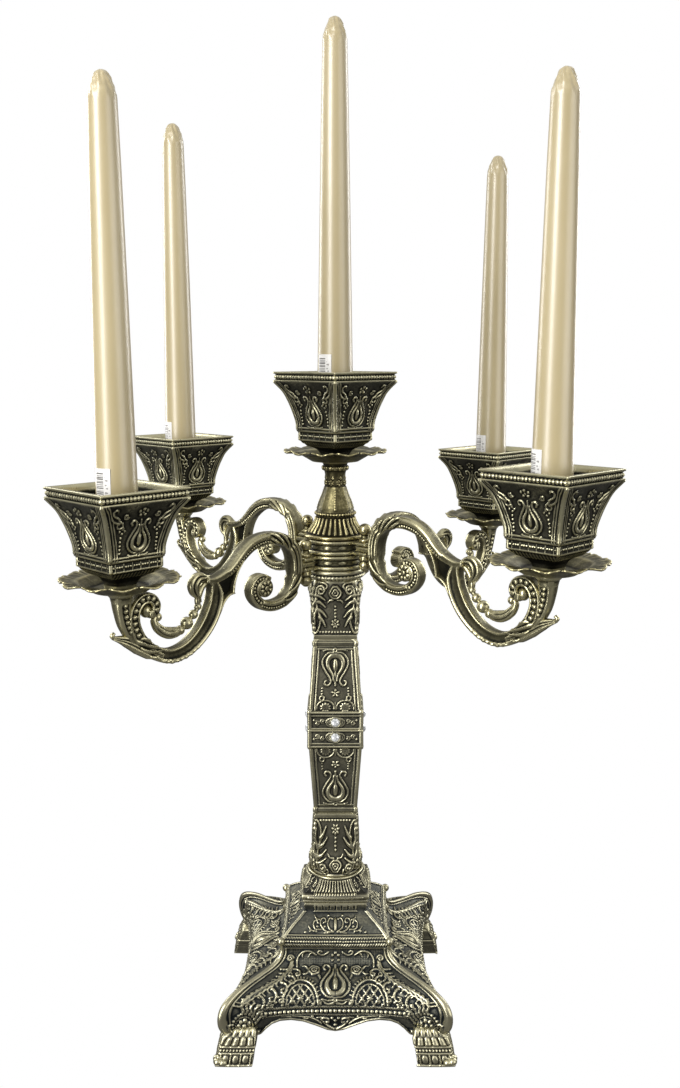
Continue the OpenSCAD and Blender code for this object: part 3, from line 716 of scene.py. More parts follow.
def neck_shape():
    """The bell: fluted skirt, bead row, faceted bell with chains, ornament ring and collar."""
    skirt = [(4.4, 0.1), (18.6, 0.1), (19.8, 0.6), (20.0, 1.4), (19.5, 2.3), (17.6, 2.7)]
    flutes = [(16.9, 3.0), (15.6, 5.0), (13.9, 7.4), (12.4, 10.4), (11.8, 12.8)]
    bell = [(12.3, 13.6), (12.5, 15.4), (12.0, 16.8), (11.4, 18), (10.9, 20), (9.7, 23.5),
            (8.4, 26.5), (7.3, 29.6), (6.7, 32.2)]
    top = [(6.6, 33.0), (6.6, 35), (6.4, 36.8), (6.4, 37.4), (6.4, 38.8), (6.6, 40.6), (7.0, 42.0),
           (7.9, 43.0), (8.1, 44.4), (7.6, 45.0), (7.6, 46.0), (8.2, 48), (2.6, 48)]
    profile = np.vstack([evenly(skirt, 0.45), smooth(flutes, 0.45), smooth(bell, 0.45),
                         smooth(top, 0.4)])

    def heights(f):
        f.lift(1.1 * np.abs(np.cos(math.pi * f.x * 28)) ** 4 * (f.y > 2.9) * (f.y < 12.6))
        row = Relief(f.x * TAU * 12.2, f.y)
        row.beads(15.2, 1.83, 0.85, 0.9)
        row.h *= (f.y > 13.4) & (f.y < 17)
        f.lift(row.h)
        facet = np.abs((f.x * 8) % 1 - 0.5) * 2                    # 1 on a facet's edge
        chain = Relief((((f.x * 8 + 0.5) % 1) - 0.5) * TAU * 9 / 8, f.y)
        chain.dots([(0, y) for y in np.arange(18.6, 31, 1.55)], 0.55, 0.6)
        f.lift(chain.h * (np.floor(f.x * 8 + 0.5) % 2 == 0))
        f.lift(0.35 * facet ** 3 * (f.y > 17.5) * (f.y < 32))
        bloom = Relief(((f.x * 8) % 1 - 0.5) * TAU * 6.8 / 8, f.y)
        bloom.flower(0, 34.6, 2.0, 6, 0.7)
        bloom.stroke(spiral(1.2, 37.6, 0.9, 90, 1.1), 0.5, 0.5)
        f.lift(bloom.h)
        f.lift(0.5 * (np.cos(TAU * f.x * 16) > 0) * (f.y > 42.6) * (f.y < 45.0))
    return Shape().grid(turned(profile, 200, heights), ends=(False, False))


# ---- base ----
# Matching points down a corner and down the middle of a face: (half width, height) of each.

BASE_CORNER = [(20.4, 78.8), (20.4, 74.6), (23.8, 71.4), (28.6, 67.8), (33.2, 63.4), (35.2, 60.2),
               (34.9, 54.6), (36.9, 49.6), (41.8, 46.3), (49.7, 44.4), (57.5, 43.1), (63.8, 40.9),
               (68.6, 37.5), (71.0, 33.2), (71.4, 28.8), (70.6, 24.4), (68.4, 20.4), (65.2, 17.4)]
BASE_MIDDLE = [(20.4, 78.8), (20.4, 74.4), (23.8, 71.2), (28.3, 67.3), (32.4, 62.6), (34, 59),
               (33.8, 54), (35.5, 49), (39.5, 45.5), (45.6, 43.5), (51.2, 41.2), (55.0, 38.4),
               (57.6, 35.0), (59.0, 31.0), (59.4, 27.0), (59.3, 22.8), (59.0, 18.4), (58.6, 13.7)]
APRON = [(0, 13.7), (5, 14.5), (12, 17.6), (20, 20.8), (28, 22.4), (35, 22.2), (40, 20.4),
         (44, 17.2), (47, 14), (50, 12), (54, 12.6), (60, 16.6), (80, 17.4)]
APRON_TOP_Z = 27
SHELL_T = 2.6
JOIN_RUN = 28.6                               # where the base's upper and lower pieces meet
BASE_ACROSS, BASE_STEP = 172, 0.66            # points across a face, and mm down it
LEG_ROSETTE = (57.0, 77.6)
SHOULDER, SHOULDER_Z, SHOULDER_R = 35.2, 61.2, 2.7        # the balls on the four shoulders


def apron_edge(x):
    """Height of the shell's lower edge at a distance x from a face's middle."""
    at = np.array(APRON, float)
    return np.interp(np.abs(x), at[:, 0], at[:, 1])


def slope_relief(ax, y, edge):
    """The band of small squares, the sloping panel with its scrolls and the ropes under it."""
    m = Relief(ax, y)
    m.lift(0.5 * (np.abs((ax / 4.1) % 1 - 0.5) < 0.36) * (np.abs(y - 2.2) < 1.3))
    m.bar(4.6, 1.1, 0.7)
    m.bar(0.4, 0.8, 0.5)
    m.dome(0, 13.2, 1.2, 1.3, ry=4.4)
    for points in ([(1.2, 17.8), (4.2, 15.6), (5.0, 12), (3.6, 9.2), (1.8, 9.8)],
                   [(1.4, 18.2), (6.4, 17.4), (9.6, 13.4), (9.2, 9.8), (6.8, 9.4), (6.4, 11.6),
                    (7.8, 12.2)],
                   [(9.4, 16.6), (13.2, 16.2), (14.4, 12.6), (12.4, 10.4), (11.4, 12.4)]):
        m.curve(points, 0.9, 0.8)
    m.leaves(((12.4, 17.8), (17.6, 14.0), 1.2, 0.7, 0.2),
             ((10.6, 10.2), (13.6, 7.2), 1.1, 0.7, 0.2),
             ((3.6, 18.6), (8.4, 19.0), 1.0, 0.6))
    m.dots([(7.0, 14.6), (16.4, 17.6), (19.6, 18.2), (11.8, 14.6), (4.6, 7.4)], 0.7, 0.7)
    m.h *= (edge > 6.2)
    m.bar(20.2, 0.9, 0.6)
    m.rope(22.0, 1.7, 1.7, 0.75)
    m.beads(24.2, 1.7, 0.7, 0.75)
    m.rope(26.4, 1.7, 1.7, 0.75)
    m.bar(28.4, 0.9, 0.6)
    return m.h


def panel_relief(ax, y):
    """The main panel's lyre, flower, rose and scrolls."""
    m = Relief(ax, y)
    m.lyre(0, 63.0, 25, 1.7, flip=-1)
    m.dots([(1.9, 33.2), (1.9, 36.2), (0, 31.8)], 0.95, 1.0)
    m.leaf((1.0, 67.0), (8.4, 65.2), 2.2, 1.0, bend=0.2)
    m.rose(13.6, 43.6, 4.6, 1.8)
    m.leaves(((17.6, 42.2), (21.4, 40.0), 1.8, 0.9, -0.2),
             ((17.6, 45.0), (21.2, 46.4), 1.7, 0.9, 0.2),
             ((10.6, 47.4), (9.4, 51.0), 1.6, 0.9))
    m.stroke(spiral(9.8, 66.6, 1.5, 60, 1.1), 1.0, 0.9)
    m.stroke(spiral(34.2, 65.2, 1.9, 120, 1.1), 1.1, 1.0)
    m.curve([(4.6, 31.4), (8.2, 33.2), (11.4, 31.8), (10.2, 30.2), (8.8, 31.2)], 1.0, 1.0)
    m.curve([(12.6, 33.0), (17.0, 30.6), (21.6, 31.4), (24.6, 35.4), (24.8, 40.4)], 1.2, 1.1)
    m.leaves(((14.4, 31.6), (17.6, 34.8), 1.3, 0.8, -0.2),
             ((20.2, 31.2), (21.0, 35.4), 1.3, 0.8, -0.2))
    m.stroke(spiral(29.2, 35.0, 2.2, 180, 1.3), 1.2, 1.1)
    return m.h


def lattice_relief(ax, y):
    """The lattice arch with its double frame and three flowers."""
    m = Relief(ax, y)
    cx, foot, wide, tall = 22.0, 67.8, 11.2, 16.4
    for share, width in ((1.0, 1.3), (0.8, 0.9)):
        m.stroke(arc(cx, foot, wide * share, -tall * share, 0, 181, 9), width, 1.15)
    for ends in zip(arc(cx, foot, 1.04 * wide, -1.04 * tall, 9, 180, 9),
                    arc(cx, foot, 1.17 * wide, -1.17 * tall, 9, 180, 9)):
        m.stroke(ends, 0.9, 0.6)
    arch = ((ax - cx) / (0.78 * wide)) ** 2 + ((y - foot) / (0.78 * tall)) ** 2 < 1
    for sign in (1, -1):
        lines = (ax - cx) / 5.2 + sign * (y - foot) / 7.2
        m.lift(0.75 * np.clip(1 - np.abs(lines % 1 - 0.5) * 7, 0, 1) * arch)
    m.flower(cx, foot - 4.4, 2.2, 6, 1.0)
    m.flower(cx - 4.6, foot - 1.8, 1.8, 6, 0.9)
    m.flower(cx + 4.6, foot - 1.8, 1.8, 6, 0.9)
    return m.h


def acanthus_relief(ax, y):
    """Beside the rib: a stem with curls inside it and long leaves outside."""
    m = Relief(ax, y)
    stem = smooth([(27.6, 37.0), (29.6, 43.4), (35.0, 49.6), (43.0, 55.2), (51.6, 59.8),
                   (58.0, 63.4)])
    m.stroke(stem, 1.7, 1.3, end=1.9)
    for k in range(12):
        px, py = stem[int((0.04 + 0.078 * k) * len(stem))]
        m.leaves(((px + 0.4, py - 0.4), (px + 7.6 + 0.2 * k, py + 3.6), 2.5, 1.2, 0.32),
                 ((px - 0.6, py + 1.0), (px - 1.4, py + 4.6), 1.7, 1.0, -0.3))
    curl = smooth([(0, 0), (-2.4, 0.8), (-4.0, 3.0), (-3.5, 5.8), (-1.6, 6.4), (-1.0, 4.6),
                   (-2.2, 4.0)], 0.4)
    for x, y0, turn, size in ((26.6, 42.2, 6, 0.9), (29.4, 47.6, -4, 1.0), (34.0, 52.8, -12, 1.1),
                              (40.2, 57.2, -20, 1.15), (47.2, 61.0, -28, 1.2)):
        m.stroke(placed(curl, x, y0, size, turn), 1.5, 1.15, end=1.0)
    m.flower(41.0, 67.4, 2.9, 7, 1.1)
    m.dots([(37.4, 65.8), (45.2, 67.2), (36.0, 62.6)], 0.95, 1.0)
    return m.h


def apron_relief(ax, y):
    """Scrolls and leaves of the apron, below the bead rows."""
    m = Relief(ax, y)
    m.curve([(0.6, 84.2), (5.0, 82.2), (8.6, 78.6), (7.0, 76.6), (4.2, 77.4), (4.4, 79.6),
             (5.8, 79.6)], 1.5, 1.5)
    m.curve([(8.8, 82.0), (12.6, 79.0), (17.4, 77.0), (20.2, 78.2), (19.2, 79.8), (17.6, 79.2)],
            1.4, 1.4)
    m.leaves(((11.4, 77.6), (8.0, 76.0), 1.3, 0.9),
             ((20.8, 77.2), (27.6, 76.4), 1.7, 1.1),
             ((27.8, 77.2), (34.0, 76.6), 1.4, 1.0))
    m.dots([(0, 81.4), (0, 78.4), (1.9, 76.8), (14.6, 76.4)], 1.0, 1.2)
    return m.h


def bead_rows(ax, y):
    """The row of large beads between two ropes, which ends short of the leg's rosette."""
    m = Relief(ax, y)
    m.rope(69.2, 1.4, 1.5, 0.7)
    m.beads(71.9, 2.9, 1.3, 1.35)
    m.rope(74.6, 1.4, 1.5, 0.7)
    return m.h * (ax < 50 - 0.12 * (y - 69) ** 2)


def leg_relief(ax, y, away, spin):
    """The leg's rosette in its beaded scroll; away and spin are each point's place round it."""
    m = Relief(ax, y)
    px, py = LEG_ROSETTE
    for k in range(7):
        a = TAU * k / 7
        m.dome(px + 3.2 * math.cos(a), py + 3.2 * math.sin(a), 1.45, 1.9)
    m.dome(px, py, 1.5, 2.4)
    m.lift(1.3 * hump(((spin * 10 / math.pi) % 1 - 0.5) * 2.3, away - 7.2) * (spin < 1.9))
    m.ring(px, py, 5.3, 0.8, 0.9)
    for base, tip in zip(arc(px, py, 8.6, 8.6, 196, 272, 15),
                         arc(px, py, 14.8, 14.8, 196, 272, 15)):
        m.leaf(base, tip, 2.0, 1.3, bend=0.2)
    return m.h


def rib_relief(run, edge, away, spin):
    """The smooth rib down the corner: thin above the shoulder, wider where it curls round the
    rosette, with a fine line inside it."""
    wide = np.interp(run, [5, 27, 34, 50, 64, 74, 82, 90], [1.5, 1.5, 2.2, 2.7, 4.0, 4.9, 4.6, 4.2])
    tall = np.interp(run, [5, 27, 34, 64, 90], [0.7, 0.8, 1.5, 2.0, 1.8])
    rib = tall * hump(edge / wide) * (run > 4.6)
    line = 0.9 * hump((edge - wide - 1.1) / 0.7) * (run > JOIN_RUN)
    curl = 1.8 * hump((away - 9.5) / 1.3) * (spin > -0.2) * (spin < 2.7)
    return np.maximum(np.maximum(rib, line), curl)


def base_heights(f):
    """Ornament of one base face: f.x across it, f.y the run down its middle from the top."""
    ax = np.abs(f.x)
    edge = f.half - ax
    # the lower half is laid out a little longer than it is
    y = f.y + np.interp(f.y, [42, 64, 84], [0, 2.2, 1.8])
    px, py = LEG_ROSETTE
    away, spin = np.hypot(ax - px, y - py), np.arctan2(y - py, ax - px)
    above_apron = f.z - apron_edge(f.x)
    f.lift(slope_relief(ax, y, edge))
    for relief in (panel_relief, lattice_relief, acanthus_relief):
        f.lift(relief(ax, y) * (edge > 3.4) * (f.y > JOIN_RUN) * (y < 68.8))
    f.lift(bead_rows(ax, y))
    f.lift(apron_relief(ax, y) * (above_apron > 1.2))
    f.lift(1.1 * hump((above_apron - 0.8) / 0.9) * (f.y > 68) * (ax < 48))
    f.lift(leg_relief(ax, y, away, spin) * (ax > 42) * (edge > 2.4))
    f.lift(rib_relief(f.y, edge, away, spin))
    stipple = 0.22 * np.abs(np.sin(f.x * 2.9) * np.sin(f.y * 2.9)) * (ax + f.y < 62)
    f.h = f.h + stipple * (f.y > JOIN_RUN) * (f.y < 46) * (edge > 6)


def base_grid(per_face, step):
    """The shell's outer surface before ornament, the ornament's heights, and each row's run
    down the face."""
    rows = smooth(np.hstack([BASE_CORNER, BASE_MIDDLE]), step)
    run = np.r_[0, np.cumsum(np.hypot(np.diff(rows[:, 2]), np.diff(rows[:, 3])))]
    s = np.linspace(-1, 1, per_face, endpoint=False)[None]
    far = np.abs(s) ** 2.4
    hc, zc, hm, zm = (rows[:, k:k + 1] for k in range(4))
    out = hm + (hc - hm) * far
    z = zm + (zc - zm) * far
    x = s * hc
    drop = np.clip((APRON_TOP_Z - z) / (APRON_TOP_Z - z[-1:]), 0, 1)
    z = np.where(z < APRON_TOP_Z, APRON_TOP_Z - drop * (APRON_TOP_Z - apron_edge(x)), z)
    relief = Relief(x, np.broadcast_to(run[:, None], x.shape))
    relief.half, relief.z = np.broadcast_to(hc, x.shape), z
    base_heights(relief)
    faces = []
    for k in range(4):
        a = k * math.pi / 2
        faces.append(np.stack([math.cos(a) * x + math.sin(a) * out,
                               math.sin(a) * x - math.cos(a) * out, z], -1))
    p = np.concatenate(faces, 1)
    return p, np.tile(relief.h, (1, 4)), run


def base_shapes():
    """The base's upper and lower pieces."""
    p, h, run = base_grid(BASE_ACROSS, BASE_STEP)
    n = -normals_of(p)
    n = n * np.sign(np.einsum("ijk,ijk->ij", n, p - [0, 0, 20]))[..., None]
    skin = p + n * h[..., None]
    cut = int(np.searchsorted(run, JOIN_RUN))
    inner = (p - n * SHELL_T)[::-1]
    inner[..., 2] = np.minimum(inner[..., 2], high("base_shell") - 3 * SHELL_T)
    keep = np.unique(np.linspace(0, len(inner) - 1, 14).astype(int))
    lid = squares([(1, 80.4, 0), (19.8, 80.4, 0), (19.9, 79.4, 0), (20.5, 79.1, 0)],
                  BASE_ACROSS)
    upper = Shape().grid(np.concatenate([lid, skin[:cut + 1]])[:, ::-1], ends=(True, False))
    for x, y in ((1, 1), (-1, 1), (-1, -1), (1, -1)):
        upper.add(ball(SHOULDER_R, 22), move=(SHOULDER * x, SHOULDER * y, SHOULDER_Z))
    # painted shade: the inner skin of the lower piece is darkened
    shade = np.r_[np.zeros(len(skin) - cut), np.full(len(keep), -0.3)]
    lower = Shape().grid(np.concatenate([skin[cut:], inner[keep]])[:, ::-1], ends=(False, True),
                         shade=shade)
    return upper, lower


def foot_heights(f):
    """Ornament of one face of a foot; the two towards the middle have only two ridges."""
    m = Relief(f.x, f.y)
    if f.face in (1, 2):
        m.bar(11.4, 0.9, 0.4)
        m.bar(7.6, 0.9, 0.4)
        f.lift(m.h)
        return
    # four broad smooth lobes, and shorter ones above between them
    step = 5.0 - 0.16 * np.clip(f.y - 12, 0, 8)
    lobe = hump(2 * ((f.x / step) % 1) - 1)
    ends = np.clip((f.y - 11.6) / 1.4, 0, 1) * np.clip((18.2 - f.y) / 2.2, 0, 1)
    m.lift(2.2 * lobe * np.sqrt(ends))
    upper = hump(2 * ((f.x / step + 0.5) % 1) - 1)
    m.lift(1.7 * upper * np.sqrt(np.clip((f.y - 15.6) / 1.6, 0, 1)))
    # bead row between two fine ridges, over a row of sunk toes
    m.bar(11.3, 0.8, 1.1)
    m.beads(9.5, 2.1, 0.9, 1.2)
    m.bar(7.7, 0.9, 1.2)
    m.bar(0.7, 1.3, 1.3)
    toe = np.abs((f.x / 6.4 + 0.5) % 1 - 0.5) * 6.4
    m.lift(1.3 * hump((toe - 3.2) / 0.7) * (f.y < 7.8))
    nail = Relief(toe, f.y)
    nail.dome(0, 3.9, 2.1, 0.8, ry=2.6)
    m.lift(nail.h)
    f.lift(m.h)


FOOT = [(10.2, 0), (11.2, 0.05), (11.6, 0.8), (11.4, 3.2), (11.1, 6.4), (10.8, 7.0), (11.1, 7.8),
        (11.2, 11.2), (10.7, 12.0), (10.6, 13.4), (10.2, 15.4), (9.7, 17.8), (9.3, 20)]
FOOT_MIDDLE = 62.6
FOOT_LEAN = 4.5                               # how far the ankle stands in from the toes


def foot_shape():
    """The front left foot, its middle at the origin, with a curled toe at its outer corner."""
    rows = np.vstack([[(1, 0, 0.1)], dense(FOOT, 0.42, 0.1), [(1, FOOT[-1][1], 0.1)]])
    p = squares(rows, 62, foot_heights)
    lean = FOOT_LEAN * np.clip(p[..., 2:3] / FOOT[-1][1], 0, 1) ** 1.4
    p = p + np.concatenate([lean, lean, 0 * lean], -1)
    p[..., 2] = np.maximum(p[..., 2], 0)
    shape = Shape().grid(p)
    toe = [(-8.2, -8.2, 3.0, 3.6), (-10.4, -10.4, 2.6, 2.9), (-10.9, -7.2, 2.4, 2.9),
           (-7.2, -10.9, 2.4, 2.9), (-9.8, -9.8, 5.2, 1.9)]
    for x, y, z, r in toe:
        shape.add(ball(r, 20, 0.8), move=(x, y, z))
    return shape


# ---- arms ----
# An arm lies in the x-z plane: x is the distance from the stem's axis, z the height over the
# middle of its ring.

ARM_T = 8.2
SCROLL = [(58.6, -5.4), (63.2, -3.4), (67.6, -4.6), (70.2, -8.8), (69.2, -14), (64.5, -18.8),
          (58, -21.2), (51, -21.3), (44, -19), (38.8, -13.6), (36.4, -7), (36, 0), (36.6, 6),
          (38.8, 11.6), (43.2, 16.2), (49.6, 19.2), (57, 20.2), (64, 19.8), (71, 17.8), (77, 14.0),
          (82.6, 9.2), (88.2, 5.0), (94.2, 2.2), (100, 0.9), (104.8, 1.5)]
KNEE_WEB = [(87.4, 5.4), (90.0, -1.8), (93.4, -9.4)]
KNEE_RIM = [(78.6, 9.8), (82.6, 4.6), (85.4, -1.6), (86.6, -8.2)]
KNEE_TAIL = [(85.8, -8.4), (89.8, -9.2), (93.8, -12.6), (96.8, -17.8), (100.4, -23.6)]
LONG_SCROLL = [(102.0, 1.6), (99.6, -1.6), (98.4, -7), (99.4, -13), (103, -20.6), (108, -27),
               (114.6, -32.6), (122.6, -36.4), (131.4, -37.4), (139.6, -34.6), (146.6, -29.4),
               (151.8, -22.6), (154.6, -14.4), (153.6, -7), (149.2, -2.4), (143.4, -2.4),
               (140.4, -6.4), (141.6, -10.4), (144.8, -11)]
LEAF = [(137, -36.4), (144, -33.2), (151, -28.6), (158.6, -24.0), (166.4, -21.0)]
LEAF_TIP = [(160, -23.4), (165, -21.4), (167.6, -19.6), (166.0, -18.2)]
POST = [(161, 4.4), (161, 0), (160.7, -6), (159.4, -13), (156.6, -20), (153, -26)]
HOOK = [(102.0, 1.4), (106.0, 3.2), (110.2, 3.0), (112.8, -0.2), (112.2, -4.2), (109.8, -8.0),
        (108.8, -10.4)]
SWAG = [(101.6, 0.2), (105.2, -0.9), (108, -4), (110.2, -8.6), (110.4, -13), (113.4, -16.9),
        (118.2, -21.2), (123.1, -24.4), (129.5, -24.8), (134.9, -23), (139, -19.2), (140.4, -15.4),
        (138.4, -13.6)]
SWAG_BEADS = [(110.2, -13.0, 1.9), (113.5, -17.0, 2.4), (118.2, -21.2, 3.2), (123, -24.4, 2.4),
              (138, -14.2, 2.2)]


def flats(v):
    """1 on a band's two flat sides and 0 on its edges."""
    return np.clip((np.abs(v) - 0.8) * 12, 0, 1)


def along(run, start, stop, blend=3.0):
    """1 between two places along a band, falling to 0 at both ends."""
    return np.clip((run - start) / blend, 0, 1) * np.clip((stop - run) / blend, 0, 1)


def trough(u, at, half, deep):
    """A round-bottomed channel along a band: at and half are its middle and half width in u."""
    return -deep * hump((u - at) / half)


def bead_row(run, u, width, r, at=0.0):
    """Domes in a row along a band."""
    off = np.hypot((run / (2.2 * r) % 1 - 0.5) * 2.2, (u - at) * width / 2 / r)
    return r * hump(off)


def ribbons(run, u, step, lean, height):
    """Smooth overlapping leaves that slant over a band."""
    wave = (run / step + lean * u) % 1
    return height * (wave ** 0.8 * np.clip((1 - wave) * 6, 0, 1) - 0.35)


def scroll_heights(run, u, v, w):
    """From the eye: a beaded channel, leaves, the ribbed strap, then the crown down to the knee."""
    h = along(run, 3, 27) * (trough(u, 0, 0.62, 1.3) + bead_row(run, u, w, 1.0))
    h = h + along(run, 26, 46) * (trough(u, 0.35, 0.42, 0.9) + bead_row(run, u, w, 0.85, 0.35)
                                  + 0.5 * np.clip(1 - ((u + 0.45) / 0.35) ** 2, 0, 1))
    h = h + along(run, 45, 66) * ribbons(run, u, 10, -0.75, 1.5)
    ribs = hump(((u * 1.5 + 0.5) % 1 - 0.5) / 0.5)
    h = h + along(run, 65, 86) * (1.7 * ribs - 0.8)
    h = h + along(run, 85, 105) * ribbons(run, u, 6.6, -1.1, 1.7)
    h = h + along(run, 104, 142) * (trough(u, -0.46, 0.4, 0.9) + bead_row(run, u, w, 0.9, -0.46)
                                    + 0.6 * np.clip(1 - ((u - 0.3) / 0.5) ** 2, 0, 1))
    return h * flats(v)


def long_scroll_heights(run, u, v, w):
    """A wide smooth hollow down to the belly, worn leaves outside it, folds, then big beads."""
    bright_rim = 0.6 * np.clip(1 - ((u + 0.72) / 0.26) ** 2, 0, 1)
    h = along(run, 3, 72, 7) * (trough(u, 0.2, 0.66, 1.25) + bright_rim)
    worn = (np.abs(np.sin(math.pi * (run / 2.9 + 0.8 * u)))
            * np.abs(np.sin(math.pi * (run / 4.3 - u))))
    h = h + 0.5 * worn * along(run, 38, 72, 9) * np.clip((-0.25 - u) * 6, 0, 1)
    h = h + along(run, 66, 85) * ribbons(run, u, 7.4, 1.2, 1.9)
    h = h + along(run, 83, 124) * (trough(u, -0.05, 0.64, 1.5) + bead_row(run, u, w, 1.6, -0.05))
    return h * flats(v)


def post_heights(run, u, v, w):
    """A sunk strip with five beads on both sides."""
    sides = np.clip((np.abs(v) - 0.6) * 6, 0, 1)
    return along(run, 7, 25, 1.5) * (trough(u, 0, 0.5, 0.9) + bead_row(run, u, w, 1.45)) * sides


def leaf_heights(run, u, v, w):
    return (0.8 * hump((np.abs(u) - 0.55) / 0.3)
            + 0.6 * np.clip(1 - (u / 0.2) ** 2, 0, 1)) * (np.abs(v) > 0.3)


def rosette_shape():
    """A disc across the arm with a rosette on both faces, its axis along y."""
    r, h, petals = 5.4, ARM_T / 2, 8

    def heights(f):
        f.lift(0.25 * np.abs(np.sin(TAU * f.x * 14)) * (np.abs(f.y) < h - 0.5))
    half = [(0.5, 0.9), (0.24 * r, 0.8), (0.3 * r, 0.1), (0.36 * r, 0.2), (0.6 * r, 0.8),
            (0.82 * r, 0.3), (0.88 * r, -0.2), (r, -0.2)]
    p = turned(evenly(mirrored([(q, -h - out) for q, out in half]), 0.4), 64, heights)
    radius = np.hypot(p[..., 0], p[..., 1]) / r
    turn = np.arctan2(p[..., 1], p[..., 0])
    petal = np.clip((radius - 0.3) / 0.1, 0, 1) * np.clip((0.86 - radius) / 0.06, 0, 1)
    p[..., 2] -= np.sign(p[..., 2]) * petal * 0.7 * np.abs(np.cos(petals * turn / 2)) ** 6
    return Shape().grid(np.stack([p[..., 0], -p[..., 2], p[..., 1]], -1))


def band(shape, points, widths, thick, around, power=5.0, heights=None):
    """Adds to a shape a band along a smooth path; widths and thick are lists spread along it."""
    path = smooth(points, 0.45)
    widths, thick = spread(widths, len(path)), spread(thick, len(path))
    shape.grid(sweep(path, widths, thick, around, power, heights))


def arm_shape():
    """One arm with its axis along x."""
    shape = Shape()
    band(shape, [(22.2, 0), (29, 0), (36, 0)], [3.1], [ARM_T], 24)
    band(shape, SCROLL, [5.4, 6.0, 6.4, 6.6, 7.2, 7.4, 7.2, 7.4, 7.6, 7.0, 4.6, 3.0],
         [ARM_T, ARM_T, ARM_T, ARM_T, ARM_T + 0.6, ARM_T + 0.6, ARM_T, ARM_T, 7.4], 56,
         heights=scroll_heights)
    shape.add(rosette_shape(), move=(61.8, 0, -9.4))
    web = smooth(KNEE_WEB, 0.5)
    # painted shade: the sunk web inside the knee is darkened
    shape.grid(sweep(web, spread([7, 11, 7], len(web)), 2.4, 24), shade=np.full(len(web), -0.6))
    band(shape, KNEE_RIM, [1.4, 1.6, 1.7, 1.7], [ARM_T + 0.2], 22, 2.6)
    band(shape, KNEE_TAIL, [1.7, 1.8, 2.0, 2.4, 2.4], [ARM_T + 0.2], 22, 2.6)
    band(shape, LONG_SCROLL, [3.4, 9.2, 10.2, 9.6, 8.6, 8.2, 8.0, 7.8, 7.4, 7.0, 6.4, 5.8, 5.0],
         [7.4, ARM_T, ARM_T, ARM_T, 8.2, 8.4, 8.4], 56, heights=long_scroll_heights)
    shape.add(ball(3.3, 24, 1.15), move=(145.6, 0, -9.4))
    band(shape, LEAF, [3, 8.0, 8.8, 6.8, 1.8], [7.2, 6.8, 5.6, 4.0, 1.6], 36, 2.4, leaf_heights)
    band(shape, LEAF_TIP, [2.2, 2.2, 2.4, 1.8], [2.6, 2.6, 2.4], 16, 2.0)
    band(shape, HOOK, [2.6, 4.4, 5.8, 6.4, 5.2, 3.4, 1.6], [5.0, 6.0, 6.4, 5.4, 3.4], 32, 2.3,
         lambda run, u, v, w: 0.6 * np.cos(6.5 * u) * along(run, 3, 20))
    band(shape, SWAG, [2.4, 3.2, 4.0, 3.2, 2.6, 2.6, 3.4, 6.0, 6.2, 5.0, 4.4, 3.2],
         [2.8, 3.2, 3.8, 3.2, 2.6, 2.6, 3.6, 5.8, 6.0, 5.0, 4.4, 3.2], 24, 2.2,
         lambda run, u, v, w: 0.35 * np.cos(7 * u) * along(run, 38, 54))
    for x, z, r in SWAG_BEADS:
        shape.add(ball(1.14 * r, 26), move=(x, 0, z))
    collar = [(0.3, -2.8), (5.2, -2.5), (5.7, 0.5), (7.2, 2.2), (7.6, 3), (7.4, 4.4), (0.3, 4.45)]
    shape.add(lathe(collar, 0.5, 60), move=(161, 0, 0))
    band(shape, POST, [12.2, 9.8, 8.8, 8.2, 6.8, 5.0], [12, 9.4, 7.8, 7.2, 6.6, 6.0], 48, 3.0,
         post_heights)
    return shape


def fork_shape():
    """The two plates that hold an arm's tongue, on both sides of a ring along x."""
    shape = Shape()
    for sign in (1, -1):
        for z in (3.05, -3.05):
            path = evenly([(sign * 16, z), (sign * 29.2, z), (sign * 30, z)], 0.6)
            shape.grid(sweep(path, 2.5, ARM_T, 28, 5.0,
                             lambda run, u, v, w: 0.3 * (np.abs(u) < 0.4) * (np.abs(v) > 0.7)))
    return shape


def pin_shape():
    """A fork's pin with its collar and ball head; z = 0 is the ring's middle."""
    shank = [(0.2, -11.4), (1.6, -11.4), (1.6, 4.4), (3.4, 4.45), (3.8, 5.0), (3.8, 5.9),
             (2.5, 7.0), (2.2, 8.4)]
    return lathe(np.vstack([shank, arc(0, 12, 3.9, 3.9, -55, 86, 10), [(0.2, 15.9)]]), 0.45, 48)


def nut_shape():
    profile = [(1.65, -4.4), (1.65, -11.8), (0.2, -11.8), (0.2, -14.4), (1.2, -14.4), (3.5, -12.4),
               (3.9, -10), (2.8, -7.8), (3.8, -6.8), (3.4, -4.4), (1.65, -4.4)]
    return Shape().grid(turned(evenly(profile, 0.5)[::-1], 44)[:, ::-1], ends=(False, False))


def rod_shape(bottom, top):
    """The long threaded rod between two heights; its thread is cut near both ends."""
    r = 3.95

    def thread(f):
        near_end = (f.y < bottom + 30) | (f.y > top - 12)
        f.h = np.where(near_end, -0.25 * (((f.y / 1.25 - f.x) % 1) < 0.4), 0)
    return lathe([(0.3, bottom), (r - 0.45, bottom), (r, bottom + 0.6), (r, top - 0.6),
                  (r - 0.45, top), (0.3, top)], 0.6, 32, thread)


def screw_shape():
    """The screw that holds a cup: a slotted head over a threaded shank; z = 0 is the saucer's
    seat."""
    def thread(f):
        f.h = np.where(f.y < 11.5, -0.3 * (((f.y / 0.8 - f.x) % 1) < 0.45), 0)
    return lathe([(0.2, -13.3), (2.2, -13.3), (2.45, -12.8), (2.45, 12.3), (4.6, 12.35),
                  (4.5, 13.0), (3.6, 13.5), (1.2, 13.58), (0.2, 13.58)], 0.3, 32, thread)


def flat_ring(node, r, bore, chamfer, sides):
    """A washer or, with six sides, a nut, as tall as its CAD node."""
    z, top = low(node), high(node)
    return Shape().grid(turned([(bore, z), (r - chamfer, z), (r, z + chamfer), (r, top - chamfer),
                                (r - chamfer, top), (bore, top), (bore, z)], sides),
                        ends=(False, False))


# ---- materials ----

